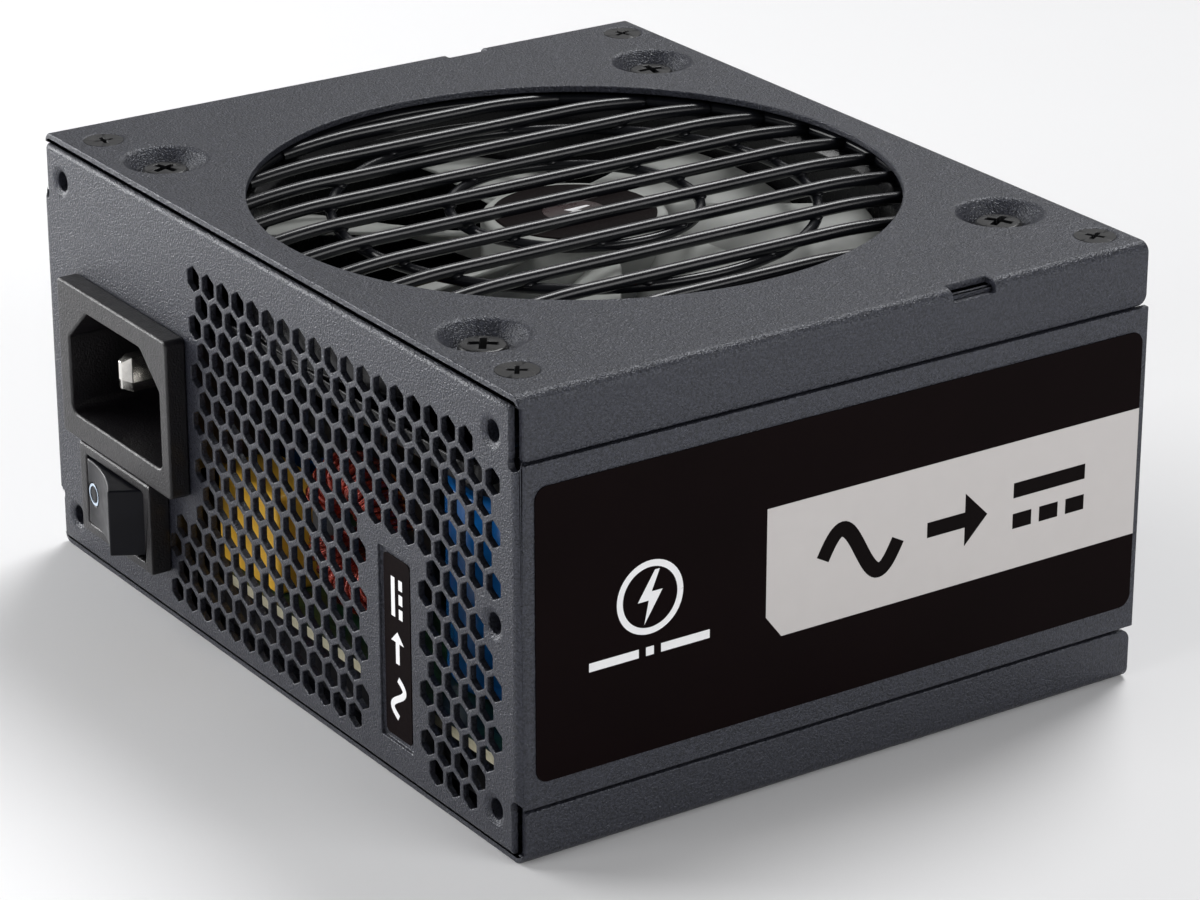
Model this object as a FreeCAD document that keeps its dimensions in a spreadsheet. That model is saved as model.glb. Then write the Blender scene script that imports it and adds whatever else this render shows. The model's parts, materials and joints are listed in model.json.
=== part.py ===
import FreeCAD, Part

import math
import os
import re

import Sketcher
from FreeCAD import Placement, Rotation, Vector

# Small-form-factor computer power supply.
# X runs across the rear panel, Y runs from the rear panel (mains inlet) to the front panel
# (output sockets), Z runs up to the fan side. The origin is the centre of the bottom face.

SIZES = {
    # Enclosure
    "case_width": 125.0,
    "case_depth": 100.0,
    "case_height": 63.5,
    "sheet": 1.0,
    "bend_radius": 1.5,
    "cover_step": 0.5,
    "top_flange_z": 54.8,
    "bottom_flange_z": 7.3,
    "flange_gap": 0.7,
    "cover_setback": 0.6,
    "flange_setback": 1.2,
    "panel_top_gap": 0.3,
    "panel_edge_radius": 0.7,
    "corner_relief": 0.9,
    "flange_corner": 1.5,
    "notch_start": 17.2,
    "notch_end": 24.0,
    "notch_depth": 2.3,
    # Honeycomb vent and rear mounting holes
    "vent_pitch": 4.05,
    "vent_flats": 3.2,
    "vent_first_x": 54.8,
    "vent_top_z": 54.5,
    "vent_rows": 15.0,
    "vent_left": -18.6,
    "vent_low_left": -26.6,
    "vent_low_top": 18.0,
    "mount_span_x": 113.0,
    "mount_span_z": 51.5,
    "mount_low_z": 6.0,
    "mount_hole": 1.4,
    "mount_boss": 2.6,
    "mount_boss_depth": 2.4,
    "mount_sink": 2.5,
    "mount_sink_depth": 0.4,
    # Labels
    "label_thickness": 0.15,
    "rear_label_left": 29.2,
    "rear_label_width": 7.8,
    "rear_label_low": 5.6,
    "rear_label_height": 27.1,
    "rear_label_margin": 0.7,
    "rear_label_depth": 0.5,
    "side_label_rear": -47.6,
    "side_label_length": 96.7,
    "side_label_low": 11.4,
    "side_label_height": 40.1,
    "side_label_corner": 1.8,
    # Fan opening, fan screws and cover screws
    "fan_opening": 45.0,
    "fan_hole_pitch": 82.5,
    "dimple_top": 6.0,
    "dimple_floor": 3.7,
    "dimple_depth": 2.5,
    "dimple_lip": 1.2,
    "dimple_foot": 0.5,
    "screw_rear_x": 53.8,
    "screw_rear_y": -44.3,
    "screw_front_x": 55.7,
    "screw_front_y": 45.9,
    "screw_hole": 1.6,
    "screw_head": 2.9,
    "screw_shaft": 1.5,
    "screw_length": 5.0,
    "fan_screw_head": 3.2,
    "fan_screw_head_depth": 1.3,
    "fan_screw_shaft": 1.9,
    "fan_screw_length": 8.0,
    # Grille
    "bar_radius": 0.9,
    "bar_pitch": 8.0,
    "bar_count": 11.0,
    "bar_level": 62.0,
    "bar_drop": 1.0,
    "bar_slope_run": 9.0,
    "ring_wire": 0.75,
    "inner_ring": 17.3,
    "middle_ring": 33.5,
    "outer_ring": 46.6,
    "weld_sink": 0.25,
    # Fan
    "fan_side": 92.0,
    "fan_bottom": 45.0,
    "fan_thickness": 15.0,
    "fan_flange": 3.0,
    "fan_duct": 44.3,
    "fan_duct_wall": 1.6,
    "fan_corner": 4.0,
    "fan_mouth": 1.1,
    "motor_base": 13.5,
    "motor_base_height": 2.0,
    "strut_width": 3.2,
    "hub_radius": 13.0,
    "hub_wall": 1.0,
    "hub_low": 48.6,
    "hub_top": 59.6,
    "hub_roof": 1.4,
    "blade_count": 7.0,
    "blade_tip": 43.2,
    "blade_thickness": 1.5,
    "blade_low": 48.8,
    "blade_high": 56.9,
    "hub_label_radius": 11.4,
    "shaft_radius": 1.5,
    "shaft_low": 46.9,
    "bearing_clearance": 0.05,
    "bearing_radius": 4.0,
    "bearing_top": 56.0,
    "stator_radius": 10.0,
    "stator_low": 50.0,
    "stator_high": 56.0,
    "magnet_inner": 10.5,
    # Mains inlet
    "inlet_left": -53.1,
    "inlet_width": 32.1,
    "inlet_low": 21.5,
    "inlet_height": 23.5,
    "bezel_proud": 3.2,
    "inlet_body_margin_x": 1.5,
    "inlet_body_margin_top": 1.6,
    "inlet_body_margin_low": 3.0,
    "inlet_body_back": -30.0,
    "cavity_left": -50.0,
    "cavity_width": 26.8,
    "cavity_low": 25.3,
    "cavity_height": 16.5,
    "cavity_cut_x": 5.5,
    "cavity_cut_z": 5.0,
    "cavity_floor": -36.5,
    "pin_thickness": 2.0,
    "pin_height": 4.0,
    "line_pin_tip": -48.6,
    "earth_pin_tip": -52.2,
    "pin_back": -26.0,
    "pin_spacing": 7.0,
    "line_pin_low": 29.3,
    "earth_pin_low": 33.7,
    # Rocker switch
    "switch_x": -38.0,
    "switch_bezel_width": 21.0,
    "switch_bezel_low": 7.8,
    "switch_bezel_height": 13.6,
    "switch_body_width": 19.0,
    "switch_body_low": 8.3,
    "switch_body_height": 12.6,
    "switch_body_back": -37.0,
    "switch_opening_width": 16.8,
    "switch_opening_low": 9.3,
    "switch_opening_height": 10.6,
    "switch_cavity_floor": -45.9,
    "rocker_travel": 30.0,
    "pivot_depth": 4.0,
    "pivot_radius": 0.9,
    "rocker_half": 7.9,
    "rocker_proud": 0.2,
    "rocker_clearance": 0.3,
    "rocker_flank": 5.6,
    "rocker_hub": 2.6,
    "mark_depth": 0.25,
    # Main circuit board
    "board_low": 8.0,
    "board_thickness": 1.6,
    "board_half_x": 58.0,
    "board_rear": -45.5,
    "board_front": 40.0,
    "board_notch_x": -20.0,
    "board_notch_y": -28.0,
    "spacer_x": 54.0,
    "spacer_rear_y": -22.0,
    "spacer_front_y": 34.0,
    "spacer_radius": 3.0,
    # Output sockets
    "cell_pitch": 4.2,
    "cell_hole": 3.6,
    "socket_wall": 0.8,
    "socket_front": 50.8,
    "socket_depth": 12.0,
    "cell_depth": 9.0,
    "upper_socket_z": 33.0,
    "lower_socket_z": 17.0,
}

doc = FreeCAD.newDocument("power_supply_unit")
sheet = doc.addObject("Spreadsheet::Sheet", "sizes")
for line_number, (alias, amount) in enumerate(SIZES.items(), start=1):
    sheet.set("A%d" % line_number, alias)
    sheet.set("B%d" % line_number, str(amount))
    sheet.setAlias("B%d" % line_number, alias)
doc.recompute()

nodes = []


def size(alias):
    """The number that the sheet holds for a name."""
    return float(sheet.get(alias))


def formula(text):
    """A size formula with every sheet name given in full."""
    return re.sub(r"[a-z]\w*", lambda word: "sizes." + word.group(0) if word.group(0) in SIZES
                  else word.group(0), str(text))


def bind(item, prop, text):
    item.setExpression(prop, formula(text))


def node(item, label):
    """Keep an object as one sub-part under its node name."""
    item.Label = label
    nodes.append(item)
    return item


def place(item, corner, rotation=None):
    if rotation is not None:
        item.Placement = Placement(Vector(0, 0, 0), rotation)
    for axis, text in zip("xyz", corner):
        bind(item, "Placement.Base." + axis, text)


AXIS_TURN = {"X": Rotation(Vector(0, 1, 0), 90), "Y": Rotation(Vector(1, 0, 0), -90), "Z": Rotation()}


def box(name, corner, lengths):
    item = doc.addObject("Part::Box", name)
    for prop, text in zip(("Length", "Width", "Height"), lengths):
        bind(item, prop, text)
    place(item, corner)
    return item


def cylinder(name, base, radius, length, axis="Z"):
    item = doc.addObject("Part::Cylinder", name)
    bind(item, "Radius", radius)
    bind(item, "Height", length)
    place(item, base, AXIS_TURN[axis])
    return item


def cone(name, base, first_radius, last_radius, length, axis="Z"):
    item = doc.addObject("Part::Cone", name)
    bind(item, "Radius1", first_radius)
    bind(item, "Radius2", last_radius)
    bind(item, "Height", length)
    place(item, base, AXIS_TURN[axis])
    return item


def torus(name, centre, ring_radius, wire_radius, axis="Z", start=None, sweep="360"):
    item = doc.addObject("Part::Torus", name)
    bind(item, "Radius1", ring_radius)
    bind(item, "Radius2", wire_radius)
    bind(item, "Angle3", sweep)
    turn = AXIS_TURN[axis]
    if start is not None:
        turn = turn.multiply(Rotation(Vector(0, 0, 1), start))
    place(item, centre, turn)
    return item


def compound(name, items):
    item = doc.addObject("Part::Compound", name)
    item.Links = items
    return item


def fuse(name, items):
    item = doc.addObject("Part::MultiFuse", name)
    item.Shapes = items
    return item


def cut(name, base, tools):
    item = doc.addObject("Part::Cut", name)
    item.Base = base
    item.Tool = tools[0] if len(tools) == 1 else compound(name + "_tools", tools)
    return item


def common(name, base, tool):
    item = doc.addObject("Part::Common", name)
    item.Base = base
    item.Tool = tool
    return item


def feature(name, shape, turn=0.0):
    """A computed shape, turned about the vertical axis by an angle in degrees."""
    item = doc.addObject("Part::Feature", name)
    item.Shape = shape
    item.Placement = Placement(Vector(0, 0, 0), Rotation(Vector(0, 0, 1), turn))
    return item


# PartDesign helpers. A sketch on a plane uses these world axes as its own x and y.
PLANE_NORMAL = {"XY": 1, "XZ": -1, "YZ": 1}


def new_body(name):
    return doc.addObject("PartDesign::Body", name)


def outline(body, name, plane, level, polygons=(), circles=()):
    """A sketch of closed polygons and circles whose points are bound to size formulas."""
    sketch = body.newObject("Sketcher::SketchObject", name)
    origin_plane = [item for item in body.Origin.OriginFeatures if item.Role == plane + "_Plane"][0]
    sketch.AttachmentSupport = [(origin_plane, "")]
    sketch.MapMode = "FlatFace"
    bind(sketch, "AttachmentOffset.Base.z", "%d * (%s)" % (PLANE_NORMAL[plane], level))
    for points in polygons:
        first = sketch.GeometryCount
        count = len(points)
        turn = 2 * math.pi / count
        for corner in range(count):
            ends = [Vector(math.cos(turn * at), math.sin(turn * at), 0) for at in (corner, corner + 1)]
            sketch.addGeometry(Part.LineSegment(ends[0], ends[1]), False)
        for corner in range(count):
            following = first + (corner + 1) % count
            sketch.addConstraint(Sketcher.Constraint("Coincident", first + corner, 2, following, 1))
        for corner, (across, up) in enumerate(points):
            for kind, text in (("DistanceX", across), ("DistanceY", up)):
                index = sketch.addConstraint(Sketcher.Constraint(kind, first + corner, 1, 1.0))
                bind(sketch, "Constraints[%d]" % index, text)
    for across, up, radius in circles:
        circle = sketch.addGeometry(Part.Circle(Vector(0, 0, 0), Vector(0, 0, 1), 1.0), False)
        for kind, position, text in (("DistanceX", 3, across), ("DistanceY", 3, up)):
            index = sketch.addConstraint(Sketcher.Constraint(kind, circle, position, 1.0))
            bind(sketch, "Constraints[%d]" % index, text)
        index = sketch.addConstraint(Sketcher.Constraint("Radius", circle, 1.0))
        bind(sketch, "Constraints[%d]" % index, radius)
    return sketch


def rectangle(left, low, right, high):
    return [(left, low), (right, low), (right, high), (left, high)]


def pad(body, sketch, plane, length, direction=1):
    """Add material from the sketch along the plane's world axis, +1 or -1."""
    item = body.newObject("PartDesign::Pad", sketch.Name + "_pad")
    item.Profile = sketch
    item.Reversed = direction * PLANE_NORMAL[plane] < 0
    bind(item, "Length", length)
    doc.recompute()
    return item


def pocket(body, sketch, plane, depth, direction):
    """Remove material from the sketch along the plane's world axis, +1 or -1."""
    before = body.Shape.Volume
    item = body.newObject("PartDesign::Pocket", sketch.Name + "_pocket")
    item.Profile = sketch
    item.Reversed = direction * PLANE_NORMAL[plane] > 0
    bind(item, "Length", depth)
    doc.recompute()
    if body.Shape.Volume >= before:
        raise RuntimeError(item.Name + " removes nothing")
    return item


def round_edges(body, name, radius, wanted):
    """Fillet the edges whose middle point and direction the wanted function accepts."""
    base = body.Tip
    chosen = []
    for number, edge in enumerate(base.Shape.Edges, start=1):
        start, end = edge.Vertexes[0].Point, edge.Vertexes[-1].Point
        if edge.Curve.TypeId == "Part::GeomLine" and wanted((start + end) / 2, (end - start).normalize()):
            chosen.append("Edge%d" % number)
    if not chosen:
        raise RuntimeError(name + " finds no edge")
    item = body.newObject("PartDesign::Fillet", name)
    item.Base = (base, chosen)
    bind(item, "Radius", radius)
    doc.recompute()
    return item


def near(first, second):
    return abs(first - second) < 0.01


# ---------------------------------------------------------------- enclosure

# Small screws through the covers: two on the right (+X), then two on the left.
SCREW_PLACES = (
    ("screw_front_x", "screw_front_y"),
    ("screw_rear_x", "screw_rear_y"),
    ("-screw_front_x", "screw_front_y"),
    ("-screw_rear_x", "screw_rear_y"),
)

MOUNT_HEIGHTS = ("mount_low_z", "mount_low_z + mount_span_z / 2", "mount_low_z + mount_span_z")


def vent_cutter():
    """One prism for every honeycomb cell that clears the inlet, the label and the mounting holes."""
    pitch = size("vent_pitch")
    corner_radius = size("vent_flats") / math.sqrt(3)
    rear = -size("case_depth") / 2
    label_middle = size("rear_label_left") + size("rear_label_width") / 2
    label_reach = size("rear_label_width") / 2 + 3.1
    label_top = size("rear_label_low") + size("rear_label_height") + 2.0
    mount_x = size("mount_span_x") / 2
    mount_heights = [size("mount_low_z") + size("mount_span_z") * part / 2 for part in range(3)]
    cells = []
    for row in range(int(size("vent_rows"))):
        height = size("vent_top_z") - row * pitch * math.sqrt(3) / 2
        left = size("vent_low_left") if height < size("vent_low_top") else size("vent_left")
        across = size("vent_first_x") + (pitch / 2 if row % 2 else 0)
        while across > left:
            beside_label = abs(across - label_middle) < label_reach and height < label_top
            at_mount = min(math.hypot(across - mount_x, height - at) for at in mount_heights) < 4.0
            if not beside_label and not at_mount:
                corners = [Vector(across + corner_radius * math.sin(math.radians(60 * side)), rear - 1,
                                  height + corner_radius * math.cos(math.radians(60 * side)))
                           for side in range(7)]
                cells.append(Part.Face(Part.makePolygon(corners)).extrude(Vector(0, 4, 0)))
            across -= pitch
    return feature("vent_cells", Part.makeCompound(cells))


def case_frame():
    """Rear panel and both side panels folded from one sheet, joggled where the covers lap over."""
    body = new_body("case_frame_body")
    half, rear = "case_width / 2", "-case_depth / 2"
    low, high = "bottom_flange_z + flange_gap", "top_flange_z - 0.12"
    plan = outline(body, "wrap_plan", "XY", low, [
        [("-" + half, rear), (half, rear), (half, "case_depth / 2"),
         (half + " - sheet", "case_depth / 2"), (half + " - sheet", rear + " + sheet"),
         ("sheet - " + half, rear + " + sheet"), ("sheet - " + half, "case_depth / 2"),
         ("-" + half, "case_depth / 2")]])
    pad(body, plan, "XY", high + " - (" + low + ")")
    round_edges(body, "outer_bends", "bend_radius", lambda middle, along: near(abs(along.z), 1)
                and near(abs(middle.x), size("case_width") / 2) and near(middle.y, -size("case_depth") / 2))
    inner = half + " - cover_step - sheet"
    panel = outline(body, "rear_panel", "XZ", rear, [
        rectangle("0.4 - (" + inner + ")", "sheet + panel_top_gap", inner + " - 0.4",
                  "case_height - sheet - panel_top_gap")])
    pad(body, panel, "XZ", "sheet")
    round_edges(body, "panel_edges", "panel_edge_radius", lambda middle, along: near(abs(along.x), 1)
                and near(middle.y, -size("case_depth") / 2) and not 2 < middle.z < 60)
    reliefs = [("%d * (%s + 0.3)" % (side, inner), level, "corner_relief")
               for side in (1, -1) for level in (low, high)]
    pocket(body, outline(body, "corner_reliefs", "XZ", rear, circles=reliefs), "XZ", "1.6 * sheet", 1)
    for side in (1, -1):
        joggles = [[("%d * (%s - sheet)" % (side, inner), "sheet + 0.2"),
                    ("%d * (%s)" % (side, inner), "sheet + 0.2"),
                    ("%d * (%s)" % (side, inner), low),
                    ("%d * (%s - 0.05)" % (side, half), low),
                    ("%d * (%s - sheet)" % (side, half), low + " + 1.5"),
                    ("%d * (%s - sheet)" % (side, inner), low + " + 1.0")],
                   [("%d * (%s - sheet)" % (side, inner), "case_height - sheet - 0.1"),
                    ("%d * (%s)" % (side, inner), "case_height - sheet - 0.1"),
                    ("%d * (%s)" % (side, inner), high),
                    ("%d * (%s - 0.05)" % (side, half), high),
                    ("%d * (%s - sheet)" % (side, half), high + " - 1.5"),
                    ("%d * (%s - sheet)" % (side, inner), high + " - 1.0")]]
        for part, section in zip(("lower", "upper"), joggles):
            name = "%s_lap_%s" % (part, "right" if side > 0 else "left")
            sketch = outline(body, name, "XZ", rear + " + 1.8 * sheet", [section])
            pad(body, sketch, "XZ", "case_depth - 4 * sheet")
    tabs = [rectangle("screw_rear_x - 4", along + " - 3", inner + " - 0.1", along + " + 3")
            for across, along in SCREW_PLACES]
    tabs = tabs[:2] + [[("-(%s)" % across, up) for across, up in tab] for tab in tabs[2:]]
    for level, name in (("case_height - 2 * sheet", "upper_tabs"), ("sheet", "lower_tabs")):
        pad(body, outline(body, name, "XY", level, tabs), "XY", "sheet")
    mounts = [("%d * mount_span_x / 2" % side, height) for side in (1, -1) for height in MOUNT_HEIGHTS]
    bosses = outline(body, "mount_bosses", "XZ", rear + " + sheet / 2",
                     circles=[(across, up, "mount_boss") for across, up in mounts])
    pad(body, bosses, "XZ", "mount_boss_depth + sheet / 2")
    holes = outline(body, "mount_holes", "XZ", rear,
                    circles=[(across, up, "mount_hole") for across, up in mounts])
    pocket(body, holes, "XZ", "2 * mount_boss_depth", 1)
    screws = [spot + ("screw_hole",) for spot in SCREW_PLACES]
    pocket(body, outline(body, "tab_holes", "XY", "case_height", circles=screws), "XY", "case_height", -1)
    cavity = outline(body, "inlet_window", "XZ", rear, [
        rectangle("inlet_left + inlet_body_margin_x - 0.1", "inlet_low + inlet_body_margin_low - 0.1",
                  "inlet_left + inlet_width - inlet_body_margin_x + 0.1",
                  "inlet_low + inlet_height - inlet_body_margin_top + 0.1"),
        rectangle("switch_x - switch_body_width / 2 - 0.1", "switch_body_low - 0.1",
                  "switch_x + switch_body_width / 2 + 0.1", "switch_body_low + switch_body_height + 0.1")])
    pocket(body, cavity, "XZ", "2 * sheet", 1)
    recess = outline(body, "label_recess", "XZ", rear, [
        rectangle("rear_label_left", "rear_label_low", "rear_label_left + rear_label_width",
                  "rear_label_low + rear_label_height")])
    pocket(body, recess, "XZ", "rear_label_depth", 1)
    sinks = [cone("mount_sink_%d" % number, (across, rear + " - 0.01", up), "mount_sink", "mount_hole",
                  "mount_sink_depth", "Y") for number, (across, up) in enumerate(mounts)]
    return node(cut("case_frame_cut", body, sinks + [vent_cutter()]), "case_frame")


def cover(name, plate_low, flange_low, flange_high):
    """A flat plate with a flange down each long side."""
    body = new_body(name + "_body")
    reach = "case_width / 2 - cover_step"
    plate = outline(body, name + "_plate", "XY", plate_low, [
        rectangle("-(" + reach + ")", "cover_setback - case_depth / 2", reach, "case_depth / 2")])
    pad(body, plate, "XY", "sheet")
    rear = "cover_setback - case_depth / 2"
    for side, label in ((1, "right"), (-1, "left")):
        level = reach + " - sheet" if side > 0 else "-(" + reach + ")"
        flange = outline(body, "%s_flange_%s" % (name, label), "YZ", level, [
            rectangle(rear, flange_low, "case_depth / 2", flange_high)])
        pad(body, flange, "YZ", "sheet")
    return body


def set_back_flanges(body, name, low, high):
    """Trim the rear end of both flanges, so that a slot is left beside the rear panel."""
    inner, outer = "case_width / 2 - cover_step - sheet - 0.1", "case_width / 2 - cover_step + 0.1"
    ends = [rectangle(inner, low, outer, high), rectangle("-(" + outer + ")", low, "-(" + inner + ")", high)]
    pocket(body, outline(body, name + "_slots", "XZ", "-case_depth / 2", ends), "XZ", "flange_setback", 1)


def top_cover():
    """Top plate with the fan opening, four pressed dimples and two side flanges."""
    body = cover("top_cover", "case_height - sheet", "top_flange_z", "case_height")
    edge = size("case_width") / 2 - size("cover_step")
    round_edges(body, "top_bends", "bend_radius", lambda middle, along: near(abs(along.y), 1)
                and near(abs(middle.x), edge) and near(middle.z, size("case_height")))
    round_edges(body, "top_flange_corners", "flange_corner", lambda middle, along: near(abs(along.x), 1)
                and abs(middle.x) > edge - 1 and near(middle.z, size("top_flange_z")))
    set_back_flanges(body, "top", "top_flange_z - 0.1", "case_height - bend_radius")
    opening = outline(body, "fan_opening", "XY", "case_height", circles=[("0", "0", "fan_opening")])
    pocket(body, opening, "XY", "2 * sheet", -1)
    reach = "case_width / 2 - cover_step"
    notches = [rectangle(reach + " - notch_depth", "notch_start", reach + " + 1", "notch_end"),
               rectangle("-(" + reach + ") - 1", "notch_start", "notch_depth - (" + reach + ")",
                         "notch_end")]
    pocket(body, outline(body, "edge_notches", "XY", "case_height", notches), "XY", "1.7 * sheet", -1)
    cups, hollows = [], []
    for number, (side, end) in enumerate(((1, 1), (-1, 1), (-1, -1), (1, -1))):
        spot = ("%d * fan_hole_pitch / 2" % side, "%d * fan_hole_pitch / 2" % end)
        floor = "case_height - dimple_depth"
        cups.append(cone("dimple_cup_%d" % number, spot + (floor + " - sheet",), "dimple_floor + 0.8",
                         "dimple_top + 0.4", "dimple_depth"))
        hollows.append(cone("dimple_%d" % number, spot + (floor,), "dimple_floor", "dimple_top",
                            "dimple_depth"))
        hollows.append(cylinder("dimple_hole_%d" % number, spot + ("fan_bottom",), "fan_screw_shaft + 0.2",
                                "case_height - fan_bottom"))
    for number, (across, along) in enumerate(SCREW_PLACES):
        hollows.append(cone("top_sink_%d" % number, (across, along, "case_height - sheet - 0.001"),
                            "screw_hole", "screw_head + 0.1", "sheet + 0.002"))
    pressed = cut("top_cover_cut", fuse("top_cover_cups", [body] + cups), hollows)
    doc.recompute()
    return node(soften_dimples(pressed), "top_cover")


def soften_dimples(pressed):
    """Round the lip and the foot of each pressed dimple."""
    top = size("case_height")
    rounds = {(size("dimple_top"), top): size("dimple_lip"),
              (size("dimple_floor"), top - size("dimple_depth")): size("dimple_foot")}
    chosen = []
    for number, edge in enumerate(pressed.Shape.Edges, start=1):
        if edge.Curve.TypeId == "Part::GeomCircle":
            for (radius, level), amount in rounds.items():
                if near(edge.Curve.Radius, radius) and near(edge.Curve.Center.z, level):
                    chosen.append((number, amount, amount))
    item = doc.addObject("Part::Fillet", "top_cover_softened")
    item.Base = pressed
    item.Edges = chosen
    return item


def bottom_cover():
    """Bottom plate with two upturned flanges, lapping under the rear panel."""
    body = cover("bottom_cover", "0", "0", "bottom_flange_z")
    edge = size("case_width") / 2 - size("cover_step")
    round_edges(body, "bottom_bends", "bend_radius", lambda middle, along: near(abs(along.y), 1)
                and near(abs(middle.x), edge) and near(middle.z, 0))
    round_edges(body, "bottom_flange_corners", "flange_corner", lambda middle, along:
                near(abs(along.x), 1) and abs(middle.x) > edge - 1
                and near(middle.z, size("bottom_flange_z")))
    set_back_flanges(body, "bottom", "bend_radius", "bottom_flange_z + 0.1")
    sinks = [cone("bottom_sink_%d" % number, (across, along, "-0.001"), "screw_head + 0.1", "screw_hole",
                  "sheet + 0.002") for number, (across, along) in enumerate(SCREW_PLACES)]
    return node(cut("bottom_cover_cut", body, sinks), "bottom_cover")


# Output sockets: name, middle in X, height, columns and rows of contacts.
SOCKETS = (
    ("socket_main_wide", "-31.5", "upper_socket_z", 9, 2),
    ("socket_main_narrow", "0.5", "upper_socket_z", 5, 2),
    ("socket_graphics", "30.0", "upper_socket_z", 4, 2),
    ("socket_processor", "-41.0", "lower_socket_z", 4, 2),
    ("socket_drive_left", "-9.0", "lower_socket_z", 6, 1),
    ("socket_drive_right", "26.0", "lower_socket_z", 6, 1),
)


def socket_extent(columns, rows):
    return "(%d * cell_pitch + 2 * socket_wall)" % columns, "(%d * cell_pitch + 2 * socket_wall)" % rows


def front_panel():
    """Flat panel that closes the far end and holds the output sockets."""
    body = new_body("front_panel_body")
    wide = "(case_width / 2 - sheet - 0.05)"
    narrow = "(case_width / 2 - cover_step - 2 * sheet - 0.1)"
    low, high = "sheet + 0.05", "case_height - sheet - 0.05"
    step_low, step_high = "bottom_flange_z + flange_gap + 1.6", "top_flange_z - 1.6"
    right = [(narrow, low), (narrow, step_low), (wide, step_low), (wide, step_high), (narrow, step_high),
             (narrow, high)]
    left = [("-" + across, up) for across, up in reversed(right)]
    plate = outline(body, "front_plate", "XZ", "case_depth / 2 - sheet", [right + left])
    pad(body, plate, "XZ", "sheet")
    windows = []
    for name, across, height, columns, rows in SOCKETS:
        long, tall = socket_extent(columns, rows)
        ends = ["%s %s %s / 2 %s 0.05" % (middle, sign, extent, sign)
                for sign in ("-", "+") for middle, extent in ((across, long), (height, tall))]
        windows.append(rectangle(*ends))
    pocket(body, outline(body, "socket_windows", "XZ", "case_depth / 2 - 2 * sheet", windows), "XZ",
           "3 * sheet", 1)
    return node(body, "front_panel")


def countersunk_screws(label, head_z, direction):
    """Four countersunk screws. Direction is the way the shaft points along Z."""
    screws = []
    for number, (across, along) in enumerate(SCREW_PLACES):
        tag = "%s_%d" % (label, number)
        base = head_z if direction > 0 else head_z + " - 0.9"
        wide_first = direction > 0
        head = cone(tag + "_head", (across, along, base), "screw_head" if wide_first else "screw_shaft",
                    "screw_shaft" if wide_first else "screw_head", "0.9")
        start = head_z if direction > 0 else head_z + " - screw_length"
        shaft = cylinder(tag + "_shaft", (across, along, start), "screw_shaft", "screw_length")
        slots = [box(tag + "_slot_" + way, (across + " - %s / 2" % long, along + " - %s / 2" % wide,
                                            head_z + (" - 0.01" if direction > 0 else " - 0.69")),
                     (long, wide, "0.7"))
                 for way, long, wide in (("a", "3.2", "0.6"), ("b", "0.6", "3.2"))]
        screws.append(cut(tag, fuse(tag + "_blank", [head, shaft]), slots))
    return node(compound(label + "_group", screws), label)


def fan_screws():
    """Four pan-head screws at the bottom of the dimples, into the fan frame."""
    screws = []
    floor = "case_height - dimple_depth"
    for number, (side, end) in enumerate(((1, 1), (-1, 1), (-1, -1), (1, -1))):
        across, along = "%d * fan_hole_pitch / 2" % side, "%d * fan_hole_pitch / 2" % end
        tag = "fan_screw_%d" % number
        head = cone(tag + "_head", (across, along, floor), "fan_screw_head", "fan_screw_head - 0.6",
                    "fan_screw_head_depth")
        shaft = cylinder(tag + "_shaft", (across, along, floor + " - fan_screw_length"), "fan_screw_shaft",
                         "fan_screw_length + 0.1")
        slots = [box(tag + "_slot_" + way, (across + " - %s / 2" % long, along + " - %s / 2" % wide,
                                            floor + " + fan_screw_head_depth - 0.8"), (long, wide, "1"))
                 for way, long, wide in (("a", "3.4", "0.8"), ("b", "0.8", "3.4"))]
        screws.append(cut(tag, fuse(tag + "_blank", [head, shaft]), slots))
    return node(compound("fan_screws_group", screws), "fan_screws")


def plate_label(label, plane, level, direction, corners, radius):
    body = new_body(label + "_body")
    pad(body, outline(body, label + "_outline", plane, level, [rectangle(*corners)]), plane,
        "label_thickness", direction)
    thin = {"XZ": "y", "YZ": "x"}[plane]
    round_edges(body, label + "_corners", radius, lambda middle, along:
                near(abs(getattr(along, thin)), 1))
    return node(body, label)


def labels():
    plate_label("side_label", "YZ", "case_width / 2", 1, (
        "side_label_rear", "side_label_low", "side_label_rear + side_label_length",
        "side_label_low + side_label_height"), "side_label_corner")
    plate_label("rear_label", "XZ", "rear_label_depth - case_depth / 2", -1, (
        "rear_label_left + rear_label_margin", "rear_label_low + rear_label_margin",
        "rear_label_left + rear_label_width - rear_label_margin",
        "rear_label_low + rear_label_height - rear_label_margin"), "0.8")


# ---------------------------------------------------------------- grille and fan

def bar_route(across):
    """Centre line of one grille bar: level in the middle, sloping down under the cover's rim."""
    reach = math.sqrt(size("outer_ring") ** 2 - across ** 2) - size("ring_wire") * 0.9
    rim = size("outer_ring") - size("bar_slope_run")
    fall = max(0.0, (abs(across) - rim) / size("bar_slope_run")) * size("bar_drop")
    level = size("bar_level") - fall
    end_level = size("bar_level") - size("bar_drop")
    straight = reach - size("bar_slope_run")
    points = [Vector(across, -reach, end_level), Vector(across, -straight, level),
              Vector(across, straight, level), Vector(across, reach, end_level)]
    return Part.makePolygon(points)


def grille_bars():
    bars = []
    count = int(size("bar_count"))
    for number in range(count):
        route = bar_route((number - (count - 1) / 2) * size("bar_pitch"))
        start = route.Vertexes[0].Point
        heading = route.Vertexes[1].Point - start
        section = Part.Wire(Part.Circle(start, heading, size("bar_radius")).toShape())
        bars.append(Part.Wire(route).makePipeShell([section], True, False, 1))
    return node(feature("grille_bars_group", Part.makeCompound(bars)), "grille_bars")


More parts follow.
